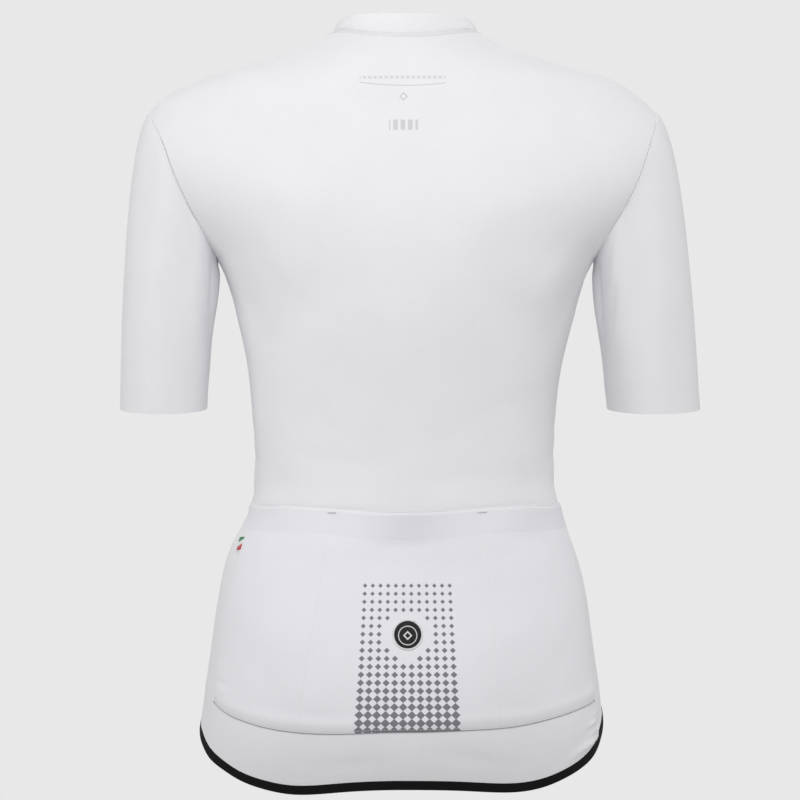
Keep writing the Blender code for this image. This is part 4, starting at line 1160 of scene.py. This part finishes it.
class JERSEY_OT_sleeves(bpy.types.Operator):
    """Makes the sleeves"""
    bl_idname = "jersey.sleeves"
    bl_label = "Sleeves"

    def execute(self, context):
        settings = context.scene.jersey_cloth
        for side in ("left", "right"):
            grid = sleeve_grid(side)
            lines = [grid.points[0], grid.points[:, 0], grid.points[:, -1]]
            points = press_seams(grid, lines, settings.seam_depth / MM, seam_strength(grid.points[0][:, 2]))
            cloth("sleeve_cloth_" + side, points, "White knit", "sleeve_" + side, settings.wall / MM, 0.05,
                  flip=side == "left")
        return {"FINISHED"}


class JERSEY_OT_collar(bpy.types.Operator):
    """Makes the stand collar and the tape under its back seam"""
    bl_idname = "jersey.collar"
    bl_label = "Collar and neck tape"

    def execute(self, context):
        grid = collar_grid()
        points = press_seams(grid, [grid.points[0]], 0.1)
        cloth("collar_cloth", points, "White knit", "collar", context.scene.jersey_cloth.collar_wall / MM, 0.15)
        angles = angles_round(-1)
        angles = angles[np.abs(angles) <= NECK_TAPE_END]
        slope = np.linalg.norm(body(angles, NECK + 0 * angles) - body(angles, NECK - 1 + 0 * angles), axis=1)
        turn = np.abs(angles)
        width = NECK_TAPE_WIDTH * (1 + 0.7 * (turn / 70.0) ** 2 - 1.1 * ease(66.0, NECK_TAPE_END, turn))
        wall = trims().tape_wall / MM * 0.6
        share = np.linspace(1, 0, 7)[:, None]
        z = NECK - (0.6 + width * share) / slope
        angle = angles + 0 * z
        crown = 0.3 * (1 - (2 * share - 1) ** 2)
        points = body(angle, z) + outward(body, angle, z) * (0.05 + 0.5 * wall + crown)[..., None]
        cloth("neck_tape_cloth", points, "White tape", "neck_tape", wall, 0.25)
        return {"FINISHED"}


class JERSEY_OT_pockets(bpy.types.Operator):
    """Makes the pocket panel and the elastic band over it"""
    bl_idname = "jersey.pockets"
    bl_label = "Pockets"

    def execute(self, context):
        grid = pocket_grid("panel")
        points = press_seams(grid, [grid.points[:, 0], grid.points[:, -1]], 0.45)
        cloth("pocket_cloth", points, "White knit of the pockets", "pocket_panel",
              context.scene.jersey_cloth.wall / MM, 0.12)
        grid = pocket_grid("band")
        share = np.linspace(0, 1, len(grid.points))[:, None]
        points = grid.points - grid.normals * (1.3 * ease(0.86, 1.0, share))[..., None]
        cloth("pocket_elastic", points, "Pocket elastic", "pocket_band", trims().band_wall / MM, 0.12)
        return {"FINISHED"}


class JERSEY_OT_hem(bpy.types.Operator):
    """Makes the elastic round the hem"""
    bl_idname = "jersey.hem"
    bl_label = "Hem elastic"

    def execute(self, context):
        angle = angles_round(0)
        share = np.linspace(0, 1, 11)[:, None]
        z = hem(angle) + (HEM_BAND + 1.8 * np.exp(-((np.abs(angle) - 75.0) / 14.0) ** 2)) * share
        angle = angle + 0 * z
        run = run_of(body(angle, z)[5])
        gather = 0.16 * np.sin(run / 3.1) * np.sin(run / 19.0 + 1.0) * np.sin(math.pi * share)
        crown = 0.25 * (1 - (2 * share - 1) ** 2)
        height = 0.3 + crown + gather + round_height(SIDE_CREASES, angle, z) * 0.6
        points = body(angle, z) + outward(body, angle, z) * height[..., None]
        cloth("hem_elastic", points, "Black elastic", "hem_band", trims().hem_wall / MM, 0.4)
        return {"FINISHED"}


def badge_rings(radii, heights):
    """Rings of points on the pockets round the badge's centre, raised by their heights."""
    turn = np.arange(72) * TAU / 72
    radius, turn = np.meshgrid(np.array(radii), turn, indexing="ij")
    x, z = BADGE_X + radius * np.sin(turn), BADGE_Z + radius * np.cos(turn)
    angle = back_angle(x, z)
    return pocket_form(angle, z) + outward(pocket_form, angle, z) * np.array(heights)[:, None, None]


class JERSEY_OT_badge(bpy.types.Operator):
    """Makes the round badge with its pale rim, and the flag tag in the left side seam"""
    bl_idname = "jersey.badge"
    bl_label = "Badge and flag tag"

    def execute(self, context):
        radius, ring = BADGE_RADIUS, BADGE_RIM
        face = [(radius * (1 - s), 1.0 + 0.15 * (1 - (1 - s) ** 2)) for s in np.linspace(0.04, 0.985, 14)]
        profile = [(radius, 0.15), (radius, 0.75), (radius - 0.12, 0.93)] + face
        points = badge_rings(*zip(*profile))
        mesh = grid_mesh("badge_patch", points, closed=True)
        close_ring(mesh, len(profile) - 1, 72)
        place("badge_patch", mesh, "Badge print", ["badge"])
        lip = [(radius - 0.05, 0.1), (radius - 0.02, 0.62), (radius + 0.3, 0.85), (ring - 0.35, 0.8),
               (ring - 0.05, 0.5), (ring, 0.1)]
        mesh = grid_mesh("badge_rim", badge_rings(*zip(*lip)), flip=True, closed=True)
        place("badge_rim", mesh, "White tape")
        make_tag()
        return {"FINISHED"}


def close_ring(mesh, row, count):
    """Closes the hole inside one ring of a grid mesh with one face."""
    bm = bmesh.new()
    bm.from_mesh(mesh)
    bm.verts.ensure_lookup_table()
    bm.faces.new([bm.verts[row * count + i] for i in range(count)])
    bm.normal_update()
    bmesh.ops.recalc_face_normals(bm, faces=bm.faces)
    bm.to_mesh(mesh)
    bm.free()


def make_tag():
    """The flag tag: a folded ribbon caught in the seam, which stands a little off the cloth."""
    angle, z = np.array(TAG_ANGLE), np.array(TAG_Z)
    out = outward(body, angle, z)
    up = unit(np.array([0.0, 0.0, 1.0]) - out * out[2])
    across = np.cross(out, up)
    tilt = math.radians(TAG_TILT)
    across, up = across * math.cos(tilt) - up * math.sin(tilt), up * math.cos(tilt) + across * math.sin(tilt)
    half = TAG_WIDTH / 2
    x, h = np.meshgrid(np.linspace(-half, half, 9), np.linspace(-TAG_HEIGHT / 2, TAG_HEIGHT / 2, 17))
    lift = 2.75 + 0.35 * np.sin(h / 3.4 + 0.5) * (x + half) / TAG_WIDTH
    points = body(angle, z) + across * x[..., None] + up * h[..., None] + out * lift[..., None]
    mesh = grid_mesh("flag_tag", points)
    if sum((face.normal for face in mesh.polygons), Vector()).dot(Vector(out)) < 0:
        mesh.flip_normals()
    give_wall(place("flag_tag", mesh, "Flag ribbon", ["side_tag"]), 0.8, 0.25)


class JERSEY_OT_zip(bpy.types.Operator):
    """Makes the zip's tapes, teeth and slider"""
    bl_idname = "jersey.zip"
    bl_label = "Zip"

    def execute(self, context):
        settings = context.scene.jersey_zip
        points, out = zip_line()
        for side, sign in (("left", 1), ("right", -1)):
            x = sign * np.linspace(6.5, 0.3, 9)
            row = points[:, None] - out[:, None] * 2.25 + np.array([1.0, 0.0, 0.0]) * x[None, :, None]
            cloth("zip_tape_cloth_" + side, row, "White tape", "zip_tape_" + side, trims().tape_wall / MM, 0.2,
                  flip=side == "right")
        reach, tooth, pitch = settings.reach / MM, settings.tooth / MM, settings.pitch / MM
        run = run_of(points)
        lines = []
        for sign in (1, -1):
            at = np.arange(2.0 + (0.5 * pitch if sign > 0 else 0.0), run[-1] - 4.0, pitch)
            middle, normal = along(at, run, points), unit(along(at, run, out))
            middle = middle + normal * -0.35 + np.array([sign * 0.75, 0.0, 0.0])
            half = np.array([reach / 2, 0.0, 0.0])
            lines += [(np.stack([m - half, m + half]), np.stack([n, n])) for m, n in zip(middle, normal)]
        beads("zip_coil_teeth", lines, "Zip teeth", None, reach, tooth, 1.0, ["zip_teeth"])
        cord = [(points + out * -0.25 + np.array([sign * 1.95, 0.0, 0.0]), out) for sign in (1, -1)]
        beads("zip_teeth_edges", cord, "Zip teeth", pitch, pitch * 0.92, 0.62, 0.9)
        make_slider()
        return {"FINISHED"}


def outline_mesh(name, outlines, thickness, rounding, matrix):
    """A plate cut to outlines in its x-z plane, the first outside and the others holes, with rounded edges."""
    curve = bpy.data.curves.new(name, "CURVE")
    curve.dimensions = "2D"
    curve.fill_mode = "BOTH"
    curve.extrude = (thickness / 2 - rounding) * MM
    curve.bevel_depth = rounding * MM
    curve.bevel_resolution = 2
    curve.offset = -rounding * MM
    for points in outlines:
        track = curve.splines.new("POLY")
        track.points.add(len(points) - 1)
        for vert, (x, z) in zip(track.points, points):
            vert.co = (x * MM, z * MM, 0.0, 1.0)
        track.use_cyclic_u = True
    carrier = bpy.data.objects.new(name + "_outline", curve)
    bpy.context.scene.collection.objects.link(carrier)
    bpy.context.view_layer.update()
    mesh = bpy.data.meshes.new_from_object(carrier.evaluated_get(bpy.context.evaluated_depsgraph_get()))
    bpy.data.objects.remove(carrier)
    turn = Matrix(((1, 0, 0), (0, 0, -1), (0, 1, 0))).to_4x4()
    mesh.transform(matrix @ turn)
    mesh.name = name
    return mesh


def rounded(half_x, low, high, radius, count=7):
    """A rectangle with round corners, from low to high."""
    points = []
    for x, z, start in ((half_x - radius, high - radius, 0), (radius - half_x, high - radius, 90),
                        (radius - half_x, low + radius, 180), (half_x - radius, low + radius, 270)):
        for i in range(count):
            turn = math.radians(start + 90 * i / (count - 1))
            points.append((x + radius * math.cos(turn), z + radius * math.sin(turn)))
    return points


def slider_frame():
    """Where the slider sits: its axes across the zip, outwards and up."""
    top, low = collar_form(np.array(180.0), np.array(1.0)), collar_form(np.array(180.0), np.array(0.0))
    share = np.array(1 - 6.5 / np.linalg.norm(top - low))
    out = outward(collar_form, np.array(180.0), share, d_z=0.04)
    up = unit(np.cross(np.array([1.0, 0.0, 0.0]), out))
    up = up if up[2] > 0 else -up
    axes = Matrix((np.cross(out, up).tolist(), out.tolist(), up.tolist())).transposed().to_4x4()
    return Matrix.Translation(Vector(collar_form(np.array(180.0), share) * MM)) @ axes


def make_slider():
    """The slider: a plate with a wide crown and side lips, and the bridge over it."""
    at = slider_frame()
    plate = [(-3.5, 3.0), (-3.3, 4.1), (-2.4, 4.5), (-0.9, 4.35), (0.0, 4.0), (0.9, 4.35), (2.4, 4.5), (3.3, 4.1),
             (3.5, 3.0), (3.1, -0.5), (2.7, -3.4), (2.2, -4.3), (1.2, -4.5), (-1.2, -4.5), (-2.2, -4.3),
             (-2.7, -3.4), (-3.1, -0.5)]
    step = Matrix.Translation(Vector((0, 1.2, 0)) * MM)
    parts = [outline_mesh("plate", [plate], 1.2, 0.3, at @ step)]
    for sign in (-1, 1):
        lip = rounded(0.45, -3.6, 3.3, 0.4)
        parts.append(outline_mesh("lip", [lip], 1.7, 0.2, at @ Matrix.Translation(
            Vector((sign * 2.95, 0.35, 0)) * MM) @ Matrix.Rotation(sign * math.radians(-4), 4, "Y")))
    side = Matrix.Rotation(math.radians(90), 4, "Z")
    arch = [(0.0, 3.5), (-0.9, 3.5), (-1.8, 3.2), (-2.3, 2.4), (-2.4, 1.2), (-2.4, -1.2), (-2.3, -2.4),
            (-1.8, -3.2), (-0.9, -3.5), (0.0, -3.5)]
    inner = [(0.05, 2.75), (-0.8, 2.7), (-1.35, 2.3), (-1.55, 1.4), (-1.55, -1.4), (-1.35, -2.3), (-0.8, -2.7),
             (0.05, -2.75)]
    arch = [(-x, z) for x, z in arch] + [(-x, z) for x, z in reversed(inner)]
    parts.append(outline_mesh("bridge", [arch], 1.6, 0.15, at @ Matrix.Translation(
        Vector((0, 1.6, 0)) * MM) @ side))
    place("zip_slider_body", join("zip_slider_body", parts), "Zip metal", ["zip_slider"])


def join(name, meshes):
    """One mesh of several."""
    bm = bmesh.new()
    for mesh in meshes:
        bm.from_mesh(mesh)
    bmesh.ops.remove_doubles(bm, verts=bm.verts, dist=1e-6)
    bmesh.ops.recalc_face_normals(bm, faces=bm.faces)
    made = bpy.data.meshes.new(name)
    bm.to_mesh(made)
    bm.free()
    made.set_sharp_from_angle(angle=math.radians(50))
    return made


class JERSEY_OT_pull_tab(bpy.types.Operator):
    """Makes the pull tab that swings on the slider's bridge"""
    bl_idname = "jersey.pull_tab"
    bl_label = "Pull tab"

    def execute(self, context):
        at = slider_frame() @ Matrix.Translation(Vector((0, 2.5, 0)) * MM)
        outline = [(-1.9, 0.45), (1.9, 0.45), (2.3, 0.2), (2.5, -0.4), (2.5, -6.0), (2.35, -7.6), (2.45, -9.4),
                   (2.5, -11.4), (2.2, -12.4), (1.4, -12.9), (-1.4, -12.9), (-2.2, -12.4), (-2.5, -11.4),
                   (-2.45, -9.4), (-2.35, -7.6), (-2.5, -6.0), (-2.5, -0.4), (-2.3, 0.2)]
        eye = rounded(1.25, -4.45, -0.45, 0.5, 5)
        hole = rounded(1.1, -11.1, -7.5, 0.9, 6)
        mesh = join("pull_tab", [outline_mesh("tab", [outline, eye, hole], 0.9, 0.18, at)])
        place("pull_tab", mesh, "Zip metal", ["zip_pull_tab"], "zip_pull")
        return {"FINISHED"}


def cloth_line(grid, rows, cols):
    """A line over a cloth's grid: its points lifted a little off the cloth, and its normals."""
    return grid.points[rows, cols] + grid.normals[rows, cols] * 0.05, grid.normals[rows, cols]


def pocket_line(points, lift, count=60):
    """A straight line over the pockets between two places from the centre line and height."""
    (x0, z0), (x1, z1) = points
    share = np.linspace(0, 1, count)
    x, z = x0 + (x1 - x0) * share, z0 + (z1 - z0) * share
    angle = back_angle(x, z)
    normals = outward(pocket_form, angle, z)
    return pocket_form(angle, z) + normals * lift, normals


class JERSEY_OT_sewing(bpy.types.Operator):
    """Sews the threads that show: pockets, their mouths and foot, bar tacks, zip edges and neck"""
    bl_idname = "jersey.sewing"
    bl_label = "Sewing"

    def execute(self, context):
        sewing = context.scene.jersey_sewing
        sizes = (sewing.pitch / MM, sewing.stitch / MM, sewing.thickness / MM, sewing.thickness / MM)
        left, right, back = panel_grid("left"), panel_grid("right"), panel_grid("back")
        edges = [cloth_line(grid, slice(None), col) for grid in (left, right) for col in (-4, -6)]
        beads("zip_edge_stitches", edges, "White thread", *sizes)
        panel = pocket_grid("panel")
        foot = panel.points[0] * 0.35 + panel.points[1] * 0.65 + panel.normals[1] * 0.08
        seams = [(foot[3:-3], panel.normals[1][3:-3])]
        seams += [pocket_line(((60.4, -409.0), (85.5, -565.0)), -0.05),
                  pocket_line(((-63.6, -409.0), (-75.5, -562.0)), -0.05)]
        beads("pocket_stitches", seams, "White thread", *sizes)
        # Painted shade: the bar tacks' thread is grey, for the shade of the small pinch each tack makes; the thread
        # itself is white.
        tacks = []
        for x, z in ((57.9, -395.7), (-61.2, -395.2)):
            for shift in (-0.35, 0.35):
                tacks.append(pocket_line(((x - 3.0, z + shift), (x + 3.0, z + shift)), 0.1, 14))
        beads("bar_tacks", tacks, "Grey thread", 0.9, 1.2, 0.5, 0.45)
        # Painted shadow: a dark grey cord along the pockets' foot, tucked under its edge, draws the shadow line
        # beneath the foot.
        angle, z = panel.angle[0], panel.z[0] - 0.4
        under = outward(body, angle, z)
        beads("pocket_foot_seam_painted_shadow", [(body(angle, z) + under * 0.3, under)], "Dark thread", 1.6, 2.0, 0.75, 0.7)
        # Painted highlight: a cord brighter than the elastic along the mouth's top edge draws the bright line where
        # light catches the rolled edge.
        band = pocket_grid("band")
        lip = (band.points[-1] - band.normals[-1] * 1.5, band.normals[-1])
        beads("pocket_mouth_highlight_edge", [lip], "Bright thread", 1.6, 2.0, 1.1, 1.5)
        neck = [cloth_line(grid, -3, slice(3, -3)) for grid in (back, left, right)]
        beads("neck_stitches", neck, "White thread", *sizes)
        return {"FINISHED"}


class JERSEY_OT_cuts(bpy.types.Operator):
    """Does nothing: it states no cut sizes and returns at once"""
    bl_idname = "jersey.cuts"
    bl_label = "Cut sizes"

    def execute(self, context):
        return {"FINISHED"}


CAMERA_DISTANCE = 3.2  # metres behind the jersey
FRAME_WIDTH = 0.664    # metres across the picture at the jersey


class JERSEY_OT_studio(bpy.types.Operator):
    """Makes the pale floor and backdrop, the lights and the camera"""
    bl_idname = "jersey.studio"
    bl_label = "Studio"

    def execute(self, context):
        settings = context.scene.jersey_studio
        scene = context.scene
        profile = [(0.0, -1.42), (2.0, -1.42), (4.0, -1.42), (5.2, -1.35), (6.2, -1.0), (6.9, -0.3), (7.3, 0.8),
                   (7.4, 2.0), (7.2, 3.6), (6.4, 5.2), (4.8, 6.5), (2.6, 7.2), (0.0, 7.4)]
        turn = np.arange(64) * TAU / 64
        rings = np.array([[(r * math.cos(t), r * math.sin(t), z) for t in turn] for r, z in profile[1:-1]])
        mesh = grid_mesh("studio_bowl", rings / MM, closed=True)
        close_ring(mesh, 0, 64)
        close_ring(mesh, len(profile) - 3, 64)
        mesh.flip_normals()
        mesh.shade_smooth()
        bowl = bpy.data.objects.new("studio_bowl", mesh)
        scene.collection.objects.link(bowl)
        for key in ("visible_diffuse", "visible_glossy", "visible_shadow", "visible_transmission"):
            setattr(bowl, key, False)
        backdrop = bpy.data.materials.new("Backdrop")
        backdrop.use_nodes = True
        nodes = backdrop.node_tree.nodes
        nodes.remove(nodes["Principled BSDF"])
        emission = nodes.new("ShaderNodeEmission")
        emission.inputs["Color"].default_value = (*settings.backdrop, 1.0)
        backdrop.node_tree.links.new(emission.outputs[0], nodes["Material Output"].inputs["Surface"])
        mesh.materials.append(backdrop)
        world = bpy.data.worlds.new("Studio light")
        scene.world = world
        world.use_nodes = True
        world.node_tree.nodes["Background"].inputs[0].default_value = (1.0, 1.0, 1.0, 1.0)
        world.node_tree.nodes["Background"].inputs[1].default_value = settings.ambient
        centre = Vector((0.0, 0.0, -0.3))
        for name, power, around, above, distance in (
                ("Key light", settings.key, 0, 35, 1.5), ("Side light", settings.side, 75, 10, 1.5),
                ("Fill light", settings.fill, -40, 10, 1.5), ("Rim light", settings.rim, -110, 10, 2.6),
                ("Front light", settings.front, 180, 40, 2.6)):
            light = bpy.data.lights.new(name, "AREA")
            light.shape = "DISK"
            light.size = distance * 0.6
            light.energy = power
            lamp = bpy.data.objects.new(name, light)
            lamp.visible_camera = False
            around, above = math.radians(around), math.radians(above)
            level = math.cos(above)
            towards = Vector((math.sin(around) * level, math.cos(around) * level, math.sin(above)))
            lamp.location = centre + towards * distance
            lamp.rotation_euler = (-towards).to_track_quat("-Z", "Y").to_euler()
            scene.collection.objects.link(lamp)
        camera = bpy.data.cameras.new("Camera")
        camera.sensor_width = 36.0
        camera.lens = camera.sensor_width * CAMERA_DISTANCE / FRAME_WIDTH
        eye = bpy.data.objects.new("Camera", camera)
        eye.location = (0.00415, CAMERA_DISTANCE, -0.303)
        eye.rotation_euler = Vector((0, -1, 0)).to_track_quat("-Z", "Y").to_euler()
        scene.collection.objects.link(eye)
        scene.camera = eye
        scene.view_settings.view_transform = "Standard"
        return {"FINISHED"}


class JERSEY_PT_panel(bpy.types.Panel):
    """Sizes, colours and steps of the jersey"""
    bl_label = "Jersey"
    bl_idname = "JERSEY_PT_panel"
    bl_space_type = "VIEW_3D"
    bl_region_type = "UI"
    bl_category = "Jersey"

    def draw(self, context):
        for group in GROUPS:
            box = self.layout.box()
            settings = getattr(context.scene, group)
            for key in settings.bl_rna.properties.keys():
                if key not in ("rna_type", "name"):
                    box.prop(settings, key)
        for operator in OPERATORS:
            self.layout.operator(operator.bl_idname)


GROUPS = {
    "jersey_cloth": JerseyCloth, "jersey_trims": JerseyTrims, "jersey_zip": JerseyZip,
    "jersey_sewing": JerseySewing, "jersey_studio": JerseyStudio,
}
OPERATORS = (
    JERSEY_OT_body, JERSEY_OT_sleeves, JERSEY_OT_collar, JERSEY_OT_pockets, JERSEY_OT_hem, JERSEY_OT_badge,
    JERSEY_OT_zip, JERSEY_OT_pull_tab, JERSEY_OT_sewing, JERSEY_OT_cuts, JERSEY_OT_studio,
)


def register():
    for made in (*GROUPS.values(), *OPERATORS, JERSEY_PT_panel):
        bpy.utils.register_class(made)
    for name, group in GROUPS.items():
        setattr(bpy.types.Scene, name, bpy.props.PointerProperty(type=group))


def unregister():
    for name in GROUPS:
        delattr(bpy.types.Scene, name)
    for made in (JERSEY_PT_panel, *OPERATORS[::-1], *list(GROUPS.values())[::-1]):
        bpy.utils.unregister_class(made)


def main():
    register()
    for operator in OPERATORS:
        group, name = operator.bl_idname.split(".")
        getattr(getattr(bpy.ops, group), name)()
    bpy.context.view_layer.update()


if __name__ == "__main__":
    main()
